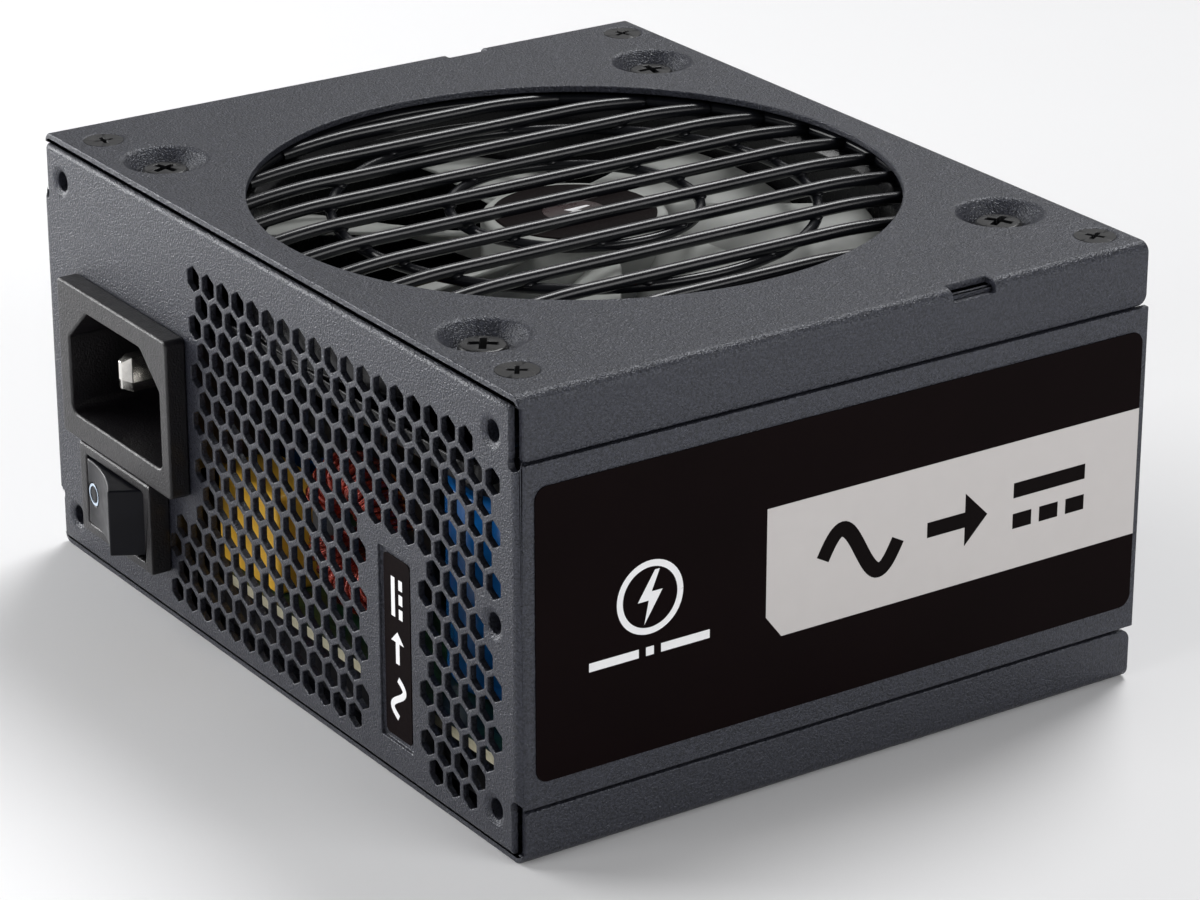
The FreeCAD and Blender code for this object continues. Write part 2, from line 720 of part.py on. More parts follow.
def grille_rings():
    """Three rings welded under the bars, and four legs that reach the cover's underside."""
    under = "bar_level - bar_radius - ring_wire + weld_sink"
    rings = [torus("inner_wire_ring", ("0", "0", under), "inner_ring", "ring_wire"),
             torus("middle_wire_ring", ("0", "0", under), "middle_ring", "ring_wire")]
    outer = torus("outer_wire_ring", ("0", "0", "bar_level - bar_drop"), "outer_ring", "ring_wire")
    legs = []
    for number in range(4):
        start = Vector(size("outer_ring"), 0, size("bar_level") - size("bar_drop"))
        end = Vector(size("outer_ring") + 4.5, 0, size("case_height") - size("sheet") - size("ring_wire"))
        leg = doc.addObject("Part::Cylinder", "grille_leg_%d" % number)
        bind(leg, "Radius", "ring_wire")
        leg.Height = (end - start).Length
        swing = Rotation(Vector(0, 0, 1), 45 + 90 * number)
        lean = Rotation(Vector(0, 0, 1), end - start)
        leg.Placement = Placement(swing.multVec(start), swing.multiply(lean))
        legs.append(leg)
    return node(compound("grille_rings_group", rings + [fuse("outer_ring_legs", [outer] + legs)]),
                "grille_rings")


def fan_frame():
    """Square frame of a slim fan: two flanges and a round duct."""
    body = new_body("fan_frame_body")
    side, top = "fan_side / 2", "fan_bottom + fan_thickness"
    for name, level in (("fan_lower_flange", "fan_bottom"), ("fan_upper_flange", top + " - fan_flange")):
        flange = outline(body, name, "XY", level, [rectangle("-" + side, "-" + side, side, side)])
        if name == "fan_lower_flange":
            pad(body, flange, "XY", "fan_flange")
            duct = outline(body, "fan_duct_wall_plan", "XY", "fan_bottom",
                           circles=[("0", "0", "fan_duct + fan_duct_wall")])
            pad(body, duct, "XY", "fan_thickness - 0.5")
        else:
            pad(body, flange, "XY", "fan_flange")
    round_edges(body, "fan_corners", "fan_corner", lambda middle, along: near(abs(along.z), 1)
                and near(abs(middle.x), size("fan_side") / 2) and near(abs(middle.y), size("fan_side") / 2))
    pocket(body, outline(body, "fan_bore", "XY", "fan_bottom", circles=[("0", "0", "fan_duct")]), "XY",
           "fan_thickness", 1)
    holes = [("%d * fan_hole_pitch / 2" % across, "%d * fan_hole_pitch / 2" % along, "fan_screw_shaft")
             for across in (1, -1) for along in (1, -1)]
    pocket(body, outline(body, "fan_holes", "XY", "fan_bottom", circles=holes), "XY", "fan_thickness", 1)
    mouth = cone("fan_mouth_cone", ("0", "0", top + " - fan_mouth"),
                 "fan_duct", "fan_duct + fan_mouth + 0.01",
                 "fan_mouth + 0.01")
    node(cut("fan_frame_cut", body, [mouth]), "fan_frame")


def fan_motor_mount():
    """Round motor base on four struts that end at the duct's wall."""
    base = cylinder("motor_base_disc", ("0", "0", "fan_bottom"), "motor_base", "motor_base_height")
    struts = [box("fan_strut_x", ("-fan_duct - 1", "-strut_width / 2", "fan_bottom"),
                  ("2 * fan_duct + 2", "strut_width", "motor_base_height")),
              box("fan_strut_y", ("-strut_width / 2", "-fan_duct - 1", "fan_bottom"),
                  ("strut_width", "2 * fan_duct + 2", "motor_base_height"))]
    bore = cylinder("mount_reach", ("0", "0", "fan_bottom - 1"), "fan_duct", "motor_base_height + 2")
    seat = cylinder("bearing_seat", ("0", "0", "fan_bottom + 1"), "bearing_radius", "motor_base_height")
    whole = common("fan_mount_common", fuse("fan_mount_whole", [base] + struts), bore)
    node(cut("fan_mount_cut", whole, [seat]), "fan_motor_mount")


def blade_section(radius, lead, sweep, low, high):
    """A thin four-sided section whose two ends are upright lines on one cylinder."""
    thick = size("blade_thickness")
    corners = []
    for angle, foot, rise in ((lead, low, 0), (lead + sweep, high, 0), (lead + sweep, high, thick),
                              (lead, low, thick)):
        turn = math.radians(angle)
        corners.append(Vector(radius * math.cos(turn), radius * math.sin(turn), foot + rise))
    return Part.makePolygon(corners + corners[:1])


def fan_rotor():
    """Hub cup with broad swept blades."""
    hub = cut("hub_cup", cylinder("hub_outside", ("0", "0", "hub_low"), "hub_radius", "hub_top - hub_low"), [
        cylinder("hub_inside", ("0", "0", "hub_low - 1"), "hub_radius - hub_wall",
                 "hub_top - hub_low - hub_roof + 1"),
        cylinder("hub_shaft_hole", ("0", "0", "hub_low"), "shaft_radius", "hub_top - hub_low - 0.5")])
    low, high = size("blade_low"), size("blade_high")
    root, tip = size("hub_radius") - 0.1, size("blade_tip")
    sections = [blade_section(root, 4, 40, low + 0.6, high),
                blade_section(root + (tip - root) / 3, -4, 37, low + 0.8, high - 0.6),
                blade_section(root + (tip - root) * 2 / 3, -7, 35, low + 0.4, high - 1.4),
                blade_section(tip, -6, 33, low, high - 2.4)]
    blade = Part.makeLoft(sections, True, True)
    count = int(size("blade_count"))
    blades = [feature("blade_%d" % number, blade, 360 / count * number) for number in range(count)]
    return node(fuse("fan_rotor_fused", [hub] + blades), "fan_rotor")


def fan_motor():
    node(cylinder("hub_sticker", ("0", "0", "hub_top"), "hub_label_radius", "label_thickness"),
         "fan_hub_label")
    node(cylinder("shaft_rod", ("0", "0", "shaft_low"), "shaft_radius", "hub_top - 0.5 - shaft_low"),
         "fan_shaft")
    sleeve = cylinder("bearing_sleeve", ("0", "0", "fan_bottom + 1"), "bearing_radius",
                      "bearing_top - fan_bottom - 1")
    bore = cylinder("bearing_bore", ("0", "0", "fan_bottom + 1.5"), "shaft_radius + bearing_clearance", "20")
    node(cut("bearing_cut", sleeve, [bore]), "fan_bearing")
    ring = cylinder("magnet_outside", ("0", "0", "hub_low + 0.5"), "hub_radius - hub_wall",
                    "hub_top - hub_roof - hub_low - 0.5")
    gap = cylinder("magnet_inside", ("0", "0", "hub_low"), "magnet_inner", "12")
    node(cut("magnet_cut", ring, [gap]), "fan_magnet_ring")
    core = cylinder("stator_centre", ("0", "0", "stator_low"), "bearing_radius + 1.6",
                    "stator_high - stator_low")
    arms = [box("stator_arm_%s" % way, ("-%s / 2" % long, "-%s / 2" % wide, "stator_low"),
                (long, wide, "stator_high - stator_low"))
            for way, long, wide in (("x", "18.6", "2.4"), ("y", "2.4", "18.6"))]
    rim = cut("stator_rim", cylinder("stator_rim_outside", ("0", "0", "stator_low"), "stator_radius",
                                     "stator_high - stator_low"),
              [cylinder("stator_rim_inside", ("0", "0", "stator_low - 1"), "stator_radius - 1.2", "9"),
               box("stator_split_x", ("-12", "-1.2", "stator_low - 1"), ("24", "2.4", "9")),
               box("stator_split_y", ("-1.2", "-12", "stator_low - 1"), ("2.4", "24", "9"))])
    rim.Placement = Placement(Vector(0, 0, 0), Rotation(Vector(0, 0, 1), 45))
    seat = cylinder("stator_hole", ("0", "0", "stator_low - 1"), "bearing_radius", "9")
    node(cut("stator_cut", fuse("stator_whole", [core, rim] + arms), [seat]), "fan_stator")
    coils = []
    for number in range(4):
        outer = doc.addObject("Part::Box", "coil_%d" % number)
        bind(outer, "Length", "2.6")
        bind(outer, "Width", "4.4")
        bind(outer, "Height", "stator_high - stator_low + 1.6")
        hole = doc.addObject("Part::Box", "coil_gap_%d" % number)
        bind(hole, "Length", "5")
        bind(hole, "Width", "2.5")
        bind(hole, "Height", "stator_high - stator_low + 0.1")
        swing = Rotation(Vector(0, 0, 1), 90 * number)
        low = size("stator_low")
        outer.Placement = Placement(swing.multVec(Vector(5.9, -2.2, low - 0.8)), swing)
        hole.Placement = Placement(swing.multVec(Vector(5, -1.25, low - 0.05)), swing)
        coils.append(cut("coil_cut_%d" % number, outer, [hole]))
    node(compound("fan_coils_group", coils), "fan_coils")
    disc = cylinder("fan_board_disc", ("0", "0", "fan_bottom + motor_base_height"),
                    "motor_base - 1.2", "0.8")
    node(cut("fan_board_cut", disc, [cylinder("fan_board_hole", ("0", "0", "fan_bottom"),
                                              "bearing_radius", "9")]), "fan_circuit_board")


# ---------------------------------------------------------------- mains inlet and switch

def inlet():
    """Appliance inlet: a bezel outside the panel, a shell behind it and a cavity with clipped corners."""
    body = new_body("inlet_shell")
    front = "-case_depth / 2 - bezel_proud"
    right, top = "inlet_left + inlet_width", "inlet_low + inlet_height"
    bezel = outline(body, "inlet_bezel", "XZ", front, [rectangle("inlet_left", "inlet_low", right, top)])
    pad(body, bezel, "XZ", "bezel_proud")
    shell = outline(body, "inlet_back", "XZ", "-case_depth / 2 - 0.1", [
        rectangle("inlet_left + inlet_body_margin_x", "inlet_low + inlet_body_margin_low",
                  right + " - inlet_body_margin_x", top + " - inlet_body_margin_top")])
    pad(body, shell, "XZ", "inlet_body_back + case_depth / 2 + 0.1")
    high, far = "cavity_low + cavity_height", "cavity_left + cavity_width"
    mouth = outline(body, "inlet_mouth", "XZ", front, [
        [("cavity_left", "cavity_low"), (far, "cavity_low"), (far, high + " - cavity_cut_z"),
         (far + " - cavity_cut_x", high), ("cavity_left + cavity_cut_x", high),
         ("cavity_left", high + " - cavity_cut_z")]])
    pocket(body, mouth, "XZ", "cavity_floor + case_depth / 2 + bezel_proud", 1)
    round_edges(body, "inlet_soft_corners", "1.6", lambda middle, along: near(abs(along.y), 1)
                and near(middle.z, size("cavity_low")))
    round_edges(body, "inlet_bezel_corners", "0.8", lambda middle, along: near(abs(along.y), 1)
                and near(abs(middle.x + 37.05), size("inlet_width") / 2))
    slots, pins = [], []
    centre = "(cavity_left + cavity_width / 2)"
    for name, shift, kind in (("line", "-pin_spacing", "line"), ("neutral", "+pin_spacing", "line"),
                              ("earth", "", "earth")):
        tip = kind + "_pin_tip"
        corner = ("%s %s - pin_thickness / 2" % (centre, shift), tip, kind + "_pin_low")
        lengths = ("pin_thickness", "pin_back - " + tip, "pin_height")
        pins.append(box(name + "_pin", corner, lengths))
        slots.append(box(name + "_slot", corner, lengths))
    node(cut("inlet_cut", body, slots), "inlet_body")
    node(compound("inlet_pins_group", pins), "inlet_pins")


def switch():
    """Rocker switch: a housing through the panel, a rocker on an upright pin, and two terminals."""
    body = new_body("switch_shell")
    front = "-case_depth / 2 - bezel_proud"
    bezel = outline(body, "switch_bezel", "XZ", front, [
        rectangle("switch_x - switch_bezel_width / 2", "switch_bezel_low",
                  "switch_x + switch_bezel_width / 2", "switch_bezel_low + switch_bezel_height")])
    pad(body, bezel, "XZ", "bezel_proud")
    shell = outline(body, "switch_back", "XZ", "-case_depth / 2 - 0.1", [
        rectangle("switch_x - switch_body_width / 2", "switch_body_low",
                  "switch_x + switch_body_width / 2", "switch_body_low + switch_body_height")])
    pad(body, shell, "XZ", "switch_body_back + case_depth / 2 + 0.1")
    mouth = outline(body, "switch_mouth", "XZ", front, [
        rectangle("switch_x - switch_opening_width / 2", "switch_opening_low",
                  "switch_x + switch_opening_width / 2", "switch_opening_low + switch_opening_height")])
    pocket(body, mouth, "XZ", "switch_cavity_floor + case_depth / 2 + bezel_proud", 1)
    pivot = ("switch_x", front + " + pivot_depth")
    pin_low = "switch_opening_low - 0.6"
    pin_length = "switch_opening_height + 1.2"
    seat = cylinder("pivot_seat", pivot + (pin_low,), "pivot_radius", pin_length)
    terminals, slots = [], []
    for name, across in (("left", "switch_x - 4"), ("right", "switch_x + 4")):
        corner = (across + " - 0.4", "switch_body_back - 2", "switch_opening_low + 2.8")
        terminals.append(box("terminal_" + name, corner, ("0.8", "8", "5")))
        slots.append(box("terminal_slot_" + name, corner, ("0.8", "8", "5")))
    node(cut("switch_housing_cut", body, [seat] + slots), "switch_housing")
    node(compound("switch_terminals_group", terminals), "switch_terminals")
    node(cylinder("pivot_pin", pivot + (pin_low,), "pivot_radius", pin_length), "switch_pivot_pin")
    rocker()


def rocker_marks(pivot, whole, sunk):
    """The O and I marks: thin slips of the rocker's own face, so they follow its curve."""
    middle = size("switch_opening_low") + size("switch_opening_height") / 2
    outward = Vector(0, -1, 0)
    ring_centre = pivot + Vector(-0.74 * size("rocker_half"), 0, middle)
    ring = Part.makeCylinder(1.7, 12, ring_centre, outward).cut(
        Part.makeCylinder(1.25, 12, ring_centre, outward))
    bar = Part.makeBox(0.5, 12, 3.4, pivot + Vector(0.35 * size("rocker_half"), -12, middle - 1.7))
    return Part.makeCompound([tool.common(whole).cut(sunk) for tool in (ring, bar)])


def rocker():
    """Concave rocker, resting with its O end pressed. It turns about the upright pin."""
    front = -size("case_depth") / 2 - size("bezel_proud")
    pivot = Vector(size("switch_x"), front + size("pivot_depth"), 0)
    reach, proud = size("rocker_half"), size("pivot_depth") + size("rocker_proud")
    flank = size("rocker_flank")
    turn = Rotation(Vector(0, 0, 1), -size("rocker_travel"))
    half_turn = Rotation(Vector(0, 0, 1), -size("rocker_travel") / 2)
    # The left end is pressed. The right end is the same outline, swung out by the whole travel.
    pressed_tip, pressed_foot = Vector(-reach, -proud, 0), Vector(-reach, flank - proud, 0)
    raised_tip, raised_foot = [turn.multVec(Vector(reach, point.y, 0))
                               for point in (pressed_tip, pressed_foot)]
    chord = (raised_tip - pressed_tip).Length
    hollow = chord / 2 * math.tan(math.radians(size("rocker_travel") / 4))
    dip = (pressed_tip + raised_tip) / 2 + half_turn.multVec(Vector(0, hollow, 0))
    height = size("switch_opening_height") - 2 * size("rocker_clearance")
    foot_level = Vector(0, 0, size("switch_opening_low") + size("rocker_clearance"))

    def block(lift):
        shift = pivot + foot_level + half_turn.multVec(Vector(0, lift, 0))
        edges = [Part.Arc(shift + pressed_tip, shift + dip, shift + raised_tip).toShape(),
                 Part.makeLine(shift + raised_tip, shift + raised_foot),
                 Part.makeLine(shift + raised_foot, shift + pressed_foot),
                 Part.makeLine(shift + pressed_foot, shift + pressed_tip)]
        return Part.Face(Part.Wire(edges)).extrude(Vector(0, 0, height))

    hub = Part.makeCylinder(size("rocker_hub"), height, pivot + foot_level)
    whole = block(0).fuse(hub)
    marks = rocker_marks(pivot, whole, block(size("mark_depth")))
    bore = Part.makeCylinder(size("pivot_radius") + size("bearing_clearance"), 40, pivot)
    node(feature("rocker_shape", whole.cut(marks).cut(bore)), "switch_rocker")
    node(feature("rocker_marks_shape", marks), "rocker_marks")


# ---------------------------------------------------------------- circuit boards and components

def on_board(rise="0"):
    return "board_low + board_thickness + " + rise


def main_board():
    """Main circuit board, notched behind the mains inlet and the switch."""
    body = new_body("main_board_body")
    plan = outline(body, "main_board_plan", "XY", "board_low", [
        [("board_notch_x", "board_rear"), ("board_half_x", "board_rear"), ("board_half_x", "board_front"),
         ("-board_half_x", "board_front"), ("-board_half_x", "board_notch_y"),
         ("board_notch_x", "board_notch_y")]])
    pad(body, plan, "XY", "board_thickness")
    spots = [("%d * spacer_x" % side, along) for side in (1, -1)
             for along in ("spacer_rear_y", "spacer_front_y")]
    holes = outline(body, "main_board_holes", "XY", "board_low",
                    circles=[spot + ("screw_shaft",) for spot in spots])
    pocket(body, holes, "XY", "board_thickness", 1)
    node(body, "main_circuit_board")
    spacers, screws = [], []
    for number, spot in enumerate(spots):
        blank = cylinder("spacer_blank_%d" % number, spot + ("sheet",), "spacer_radius", "board_low - sheet")
        bore = cylinder("spacer_bore_%d" % number, spot + ("board_low - 4",), "screw_shaft - 0.05", "5")
        spacers.append(cut("spacer_%d" % number, blank, [bore]))
        head = cylinder("board_screw_head_%d" % number, spot + (on_board(),), "2.8", "1.6")
        shaft = cylinder("board_screw_shaft_%d" % number, spot + ("board_low - 3.5",), "screw_shaft - 0.05",
                         "3.5 + board_thickness + 0.1")
        slot = box("board_screw_slot_%d" % number, (spot[0] + " - 2", spot[1] + " - 0.4", on_board("0.9")),
                   ("4", "0.8", "1"))
        screws.append(cut("board_screw_%d" % number, fuse("board_screw_blank_%d" % number, [head, shaft]),
                          [slot]))
    node(compound("spacers_group", spacers), "board_spacers")
    node(compound("board_screws_group", screws), "board_screws")
    reach = "(spacer_x - spacer_radius - 0.5)"
    film = box("film", ("-" + reach, "-46", "2 * sheet + 0.5"), ("2 * " + reach, "88", "0.4"))
    node(film, "insulator_sheet")


def wound_ring(label, centre, ring_radius, core_radius, winding_radius, axis, starts, sweep):
    """A ring core and the windings round it."""
    core = torus(label + "_core_ring", centre, ring_radius, core_radius, axis)
    node(core, label + "_core")
    sleeves = []
    for number, start in enumerate(starts):
        turns = torus("%s_turns_%d" % (label, number), centre, ring_radius, winding_radius,
                      axis, start, sweep)
        inner = torus("%s_inner_%d" % (label, number), centre, ring_radius, core_radius, axis)
        sleeves.append(cut("%s_sleeve_%d" % (label, number), turns, [inner]))
    node(compound(label + "_windings", sleeves), label + "_winding")


def upright_can(name, spot, radius, height):
    return cylinder(name, spot + (on_board(),), radius, height)


def heatsink(label, corner, length, height, fins):
    """A plate that stands on the board along Y, with short fins on one face."""
    plate = box(label + "_plate", corner + (on_board(),), ("2.5", length, height))
    ribs = [box("%s_rib_%d" % (label, number),
                (corner[0] + " + 2.4", "%s + %g" % (corner[1], 2 + 5.0 * number), on_board("6")),
                ("4.6", "1.2", "%s - 6" % height))
            for number in range(fins)]
    node(fuse(label + "_fused", [plate] + ribs), label)


def components():
    node(box("line_capacitor", ("-24.5", "-44", on_board()), ("16.5", "9", "14.7")), "line_capacitor")
    wound_ring("choke", ("4.6", "-38", "22.2"), "7.8", "2.6", "3.9", "Y", (15, 195), "150")
    node(upright_can("bulk_can", ("31.5", "-26.5"), "12.5", "28.4"), "bulk_capacitor")

    node(compound("disc_group", [
        cylinder("disc_%d" % number, (across, "-25", on_board("4.2")), "3.8", "2.6", "Y")
        for number, across in enumerate(("-30.5", "-40.5"))]), "small_disc_capacitors")
    node(cylinder("fuse_tube", ("-56.5", "-14", on_board("3.2")), "3.1", "15", "X"), "fuse")
    node(box("bridge_block", ("-14", "-27.5", on_board()), ("20", "3.6", "16")), "bridge_rectifier")
    heatsink("primary_heatsink", ("-18", "-22"), "44", "30", 8)
    node(compound("switches_group", [box("power_switch_%d" % number, ("-22.6", "%d" % (-18 + 13 * number),
                                                                      on_board("9")), ("4.5", "10", "15"))
                                     for number in range(3)]), "power_transistors")
    wound_ring("boost_inductor", ("41", "8", "23.5"), "8.4", "3.0", "4.6", "X", (0,), "300")
    blank = box("transformer_blank", ("-6", "-14", on_board("2")), ("30", "26", "26"))
    core = cut("transformer_frame", blank, [
        box("transformer_window_a", ("-1.5", "-15", on_board("7")), ("6", "28", "16")),
        box("transformer_window_b", ("13.5", "-15", on_board("7")), ("6", "28", "16"))])
    node(core, "transformer_core")
    coil = cut("transformer_coil", box("transformer_coil_blank", ("-1.2", "-16.4", on_board("7.3")),
                                       ("20.4", "30.8", "15.4")),
               [box("transformer_leg", ("4.5", "-14", on_board("2")), ("9", "26", "26"))])
    node(coil, "transformer_winding")
    heatsink("output_heatsink", ("27", "18"), "18.5", "27", 4)
    spots = [("%g" % (-8 + 10.5 * (number % 3)), "%g" % (20.5 + 10.5 * (number // 3)))
             for number in range(6)]
    node(compound("output_group", [upright_can("output_can_%d" % number, spot, "4.9", "20")
                                   for number, spot in enumerate(spots)]), "output_capacitors")
    node(box("control_card", ("-40", "-14", on_board()), ("1.6", "40", "24")), "control_board")
    node(box("socket_card", ("-55", "37", "11.4"), ("110", "1.6", "31")), "socket_board")


def sockets():
    """Output sockets: blocks of square cells with one contact pin in each cell."""
    pins = []
    for name, across, height, columns, rows in SOCKETS:
        wide, tall = socket_extent(columns, rows)
        blank = box(name + "_blank", ("%s - %s / 2" % (across, wide), "socket_front - socket_depth",
                                      "%s - %s / 2" % (height, tall)), (wide, "socket_depth", tall))
        cells = []
        for column in range(columns):
            for row in range(rows):
                middle_x = "%s + %g * cell_pitch" % (across, column - (columns - 1) / 2)
                middle_z = "%s + %g * cell_pitch" % (height, row - (rows - 1) / 2)
                tag = "%s_%d_%d" % (name, column, row)
                cells.append(box(tag + "_cell", (middle_x + " - cell_hole / 2", "socket_front - cell_depth",
                                                 middle_z + " - cell_hole / 2"),
                                 ("cell_hole", "cell_depth + 1", "cell_hole")))
                cells.append(box(tag + "_bore", (middle_x + " - 0.55", "socket_front - socket_depth - 1",
                                                 middle_z + " - 0.55"), ("1.1", "socket_depth", "1.1")))
                pins.append(box(tag + "_pin", (middle_x + " - 0.55", "38.6", middle_z + " - 0.55"),
                                ("1.1", "socket_front - 3 - 38.6", "1.1")))
        node(cut(name + "_cut", blank, cells), name)
    node(compound("socket_pins_group", pins), "socket_pins")


def save_parts():
    doc.recompute()
    failed = [item.Name for item in doc.Objects if {"Invalid", "Error"} & set(item.State)]
    if failed:
        raise RuntimeError("failed objects: " + ", ".join(failed))
    for item in nodes:
        if item.Shape.isNull() or not item.Shape.isValid() or not item.Shape.Solids:
            raise RuntimeError(item.Label + " has no valid solid")
    os.makedirs("parts", exist_ok=True)
    for item in nodes:
        item.Shape.exportStep("parts/" + item.Label + ".step")
        print(item.Label, len(item.Shape.Solids), "solids", round(item.Shape.Volume, 1), "mm3")
    print(len(nodes), "nodes")


case_frame()
top_cover()
bottom_cover()
front_panel()
countersunk_screws("cover_screws", "case_height - 0.05", -1)
countersunk_screws("bottom_screws", "0.05", 1)
fan_screws()
labels()
grille_bars()
grille_rings()
fan_frame()
fan_motor_mount()
fan_rotor()
fan_motor()
inlet()
switch()
main_board()
components()
sockets()
save_parts()
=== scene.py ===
"""The looks of a small-form-factor computer power supply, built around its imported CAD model.

Shapes are worked out in millimetres and scaled to metres when a piece is made.
"""
import json
import math

import bmesh
import bpy
from mathutils import Matrix, Vector


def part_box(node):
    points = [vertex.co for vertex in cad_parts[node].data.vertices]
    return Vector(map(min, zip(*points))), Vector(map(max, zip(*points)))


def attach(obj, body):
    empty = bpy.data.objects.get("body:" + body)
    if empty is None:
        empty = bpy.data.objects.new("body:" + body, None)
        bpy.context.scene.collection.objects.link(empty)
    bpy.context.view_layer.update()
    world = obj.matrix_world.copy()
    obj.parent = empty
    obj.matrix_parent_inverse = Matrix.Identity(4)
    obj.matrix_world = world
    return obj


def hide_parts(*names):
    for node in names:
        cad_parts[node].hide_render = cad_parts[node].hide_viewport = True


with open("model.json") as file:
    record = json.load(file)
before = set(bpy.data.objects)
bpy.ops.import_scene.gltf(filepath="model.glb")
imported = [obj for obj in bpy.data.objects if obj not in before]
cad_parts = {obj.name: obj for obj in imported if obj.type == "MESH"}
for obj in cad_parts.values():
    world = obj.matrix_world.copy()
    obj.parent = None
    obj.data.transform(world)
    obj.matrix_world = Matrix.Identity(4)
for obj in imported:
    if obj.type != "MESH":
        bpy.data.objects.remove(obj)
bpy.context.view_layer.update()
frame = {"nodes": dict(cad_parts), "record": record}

MM = 0.001
SLOT_OF = {part["node"]: part["material_slot"] for part in frame["record"]["subparts"]}
BODY_OF = {node: body for body, members in frame["record"]["behaviour"]["bodies"].items()
           for node in members}


def box_mm(node):
    """Lowest and highest corner of a CAD node, in millimetres."""
    return [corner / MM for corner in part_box(node)]


# ---------------------------------------------------------------- materials

class Finish:
    """A Principled material with short ways to add detail in object space, where 1 unit is 1 m."""

    def __init__(self, name, colour, roughness, metallic=0.0, **sockets):
        self.material = bpy.data.materials.new(name)
        self.material.use_nodes = True
        self.tree = self.material.node_tree
        self.shader = self.tree.nodes["Principled BSDF"]
        self.shader.inputs["Base Color"].default_value = (*colour, 1)
        self.shader.inputs["Roughness"].default_value = roughness
        self.shader.inputs["Metallic"].default_value = metallic
        for socket, value in sockets.items():
            self.shader.inputs[socket.replace("_", " ")].default_value = value
        self.colour = colour
        self.roughness = roughness
        self.place = self.add("ShaderNodeTexCoord").outputs["Object"]

    def add(self, kind, **links):
        node = self.tree.nodes.new(kind)
        for socket, source in links.items():
            self.feed(node.inputs[socket.replace("_", " ")], source)
        return node

    def feed(self, socket, source):
        if isinstance(source, bpy.types.NodeSocket):
            self.tree.links.new(source, socket)
        else:
            socket.default_value = source

    def stretched(self, scale):
        """Object coordinates scaled differently along X, Y and Z."""
        node = self.add("ShaderNodeMapping", Vector=self.place)
        node.inputs["Scale"].default_value = scale
        return node.outputs["Vector"]

    def noise(self, grain_mm, detail=2.0, place=None):
        """Smooth noise whose features are about grain_mm wide."""
        node = self.add("ShaderNodeTexNoise", Vector=place or self.place, Scale=1 / (grain_mm * MM),
                        Detail=detail)
        return node.outputs["Fac"]

    def spread(self, factor, low, high, first, last):
        """Map a factor between low and high to numbers from first to last."""
        node = self.add("ShaderNodeMapRange", Value=factor)
        for socket, value in (("From Min", low), ("From Max", high), ("To Min", first), ("To Max", last)):
            node.inputs[socket].default_value = value
        return node.outputs["Result"]

    def mix(self, factor, first, last):
        """A colour between two colours."""
        node = self.add("ShaderNodeMix")
        node.data_type = "RGBA"
        self.feed(node.inputs["Factor"], factor)
        for socket, colour in (("A", first), ("B", last)):
            colour_socket = [item for item in node.inputs if item.name == socket and item.type == "RGBA"][0]
            self.feed(colour_socket, colour if isinstance(colour, bpy.types.NodeSocket) else (*colour, 1))
        return [item for item in node.outputs if item.type == "RGBA"][0]

    def paint(self, colour):
        self.feed(self.shader.inputs["Base Color"], colour)

    def vary(self, grain_mm, darker, lighter):
        """Uneven colour: the base colour times darker to times lighter."""
        factor = self.spread(self.noise(grain_mm, 3.0), 0.3, 0.7, 0.0, 1.0)
        low, high = [tuple(part * share for part in self.colour) for share in (darker, lighter)]
        self.paint(self.mix(factor, low, high))

    def vary_gloss(self, grain_mm, low, high):
        self.feed(self.shader.inputs["Roughness"], self.spread(self.noise(grain_mm, 3.0), 0.3, 0.7, low, high))

    def bump(self, height, depth_mm, strength=1.0, under=None):
        """Relief of a height that runs from 0 to 1, depth_mm deep."""
        node = self.add("ShaderNodeBump", Height=height, Strength=strength, Distance=depth_mm * MM)
        if under is not None:
            self.feed(node.inputs["Normal"], under)
        self.feed(self.shader.inputs["Normal"], node.outputs["Normal"])
        return node.outputs["Normal"]


def powder_coat():
    """Dark blue-grey powder coat with a fine sandy grain."""
    finish = Finish("powder_coat", (0.018, 0.019, 0.026), 0.4, Specular_IOR_Level=0.5,
                    Specular_Tint=(0.90, 0.93, 1.0, 1.0))
    finish.vary(0.36, 0.35, 1.9)
    finish.vary_gloss(0.3, 0.26, 0.52)
    coarse = finish.bump(finish.noise(0.34, 1.0), 0.14)
    finish.bump(finish.noise(0.19, 1.0), 0.09, under=coarse)
    return finish.material


def moulded(name, colour, roughness, grain_mm, depth_mm, uneven=0.1, **sockets):
    """Moulded plastic with a spark-eroded grain, its colour uneven by a share."""
    finish = Finish(name, colour, roughness, **sockets)
    finish.vary(3.0, 1 - uneven, 1 + uneven)
    finish.vary_gloss(1.6, roughness - 0.05, roughness + 0.06)
    finish.bump(finish.noise(grain_mm, 2.0), depth_mm)
    return finish.material


def metal(name, colour, roughness, scratch_mm, depth_mm, stretch=(1, 1, 1)):
    """Bare metal with drawn lines and slightly uneven gloss."""
    finish = Finish(name, colour, roughness, 1.0)
    finish.vary(2.5, 0.9, 1.06)
    finish.vary_gloss(0.8, roughness * 0.75, roughness * 1.35)
    finish.bump(finish.noise(scratch_mm, 3.0, finish.stretched(stretch)), depth_mm)
    return finish.material


def enamel(name, colour, roughness):
    """Gloss paint that has run slightly uneven over a wire."""
    finish = Finish(name, colour, roughness, Specular_IOR_Level=0.35)
    finish.vary(4.0, 0.85, 1.2)
    finish.vary_gloss(1.5, roughness * 0.9, roughness * 1.12)
    finish.bump(finish.noise(0.9, 2.0), 0.003)
    return finish.material


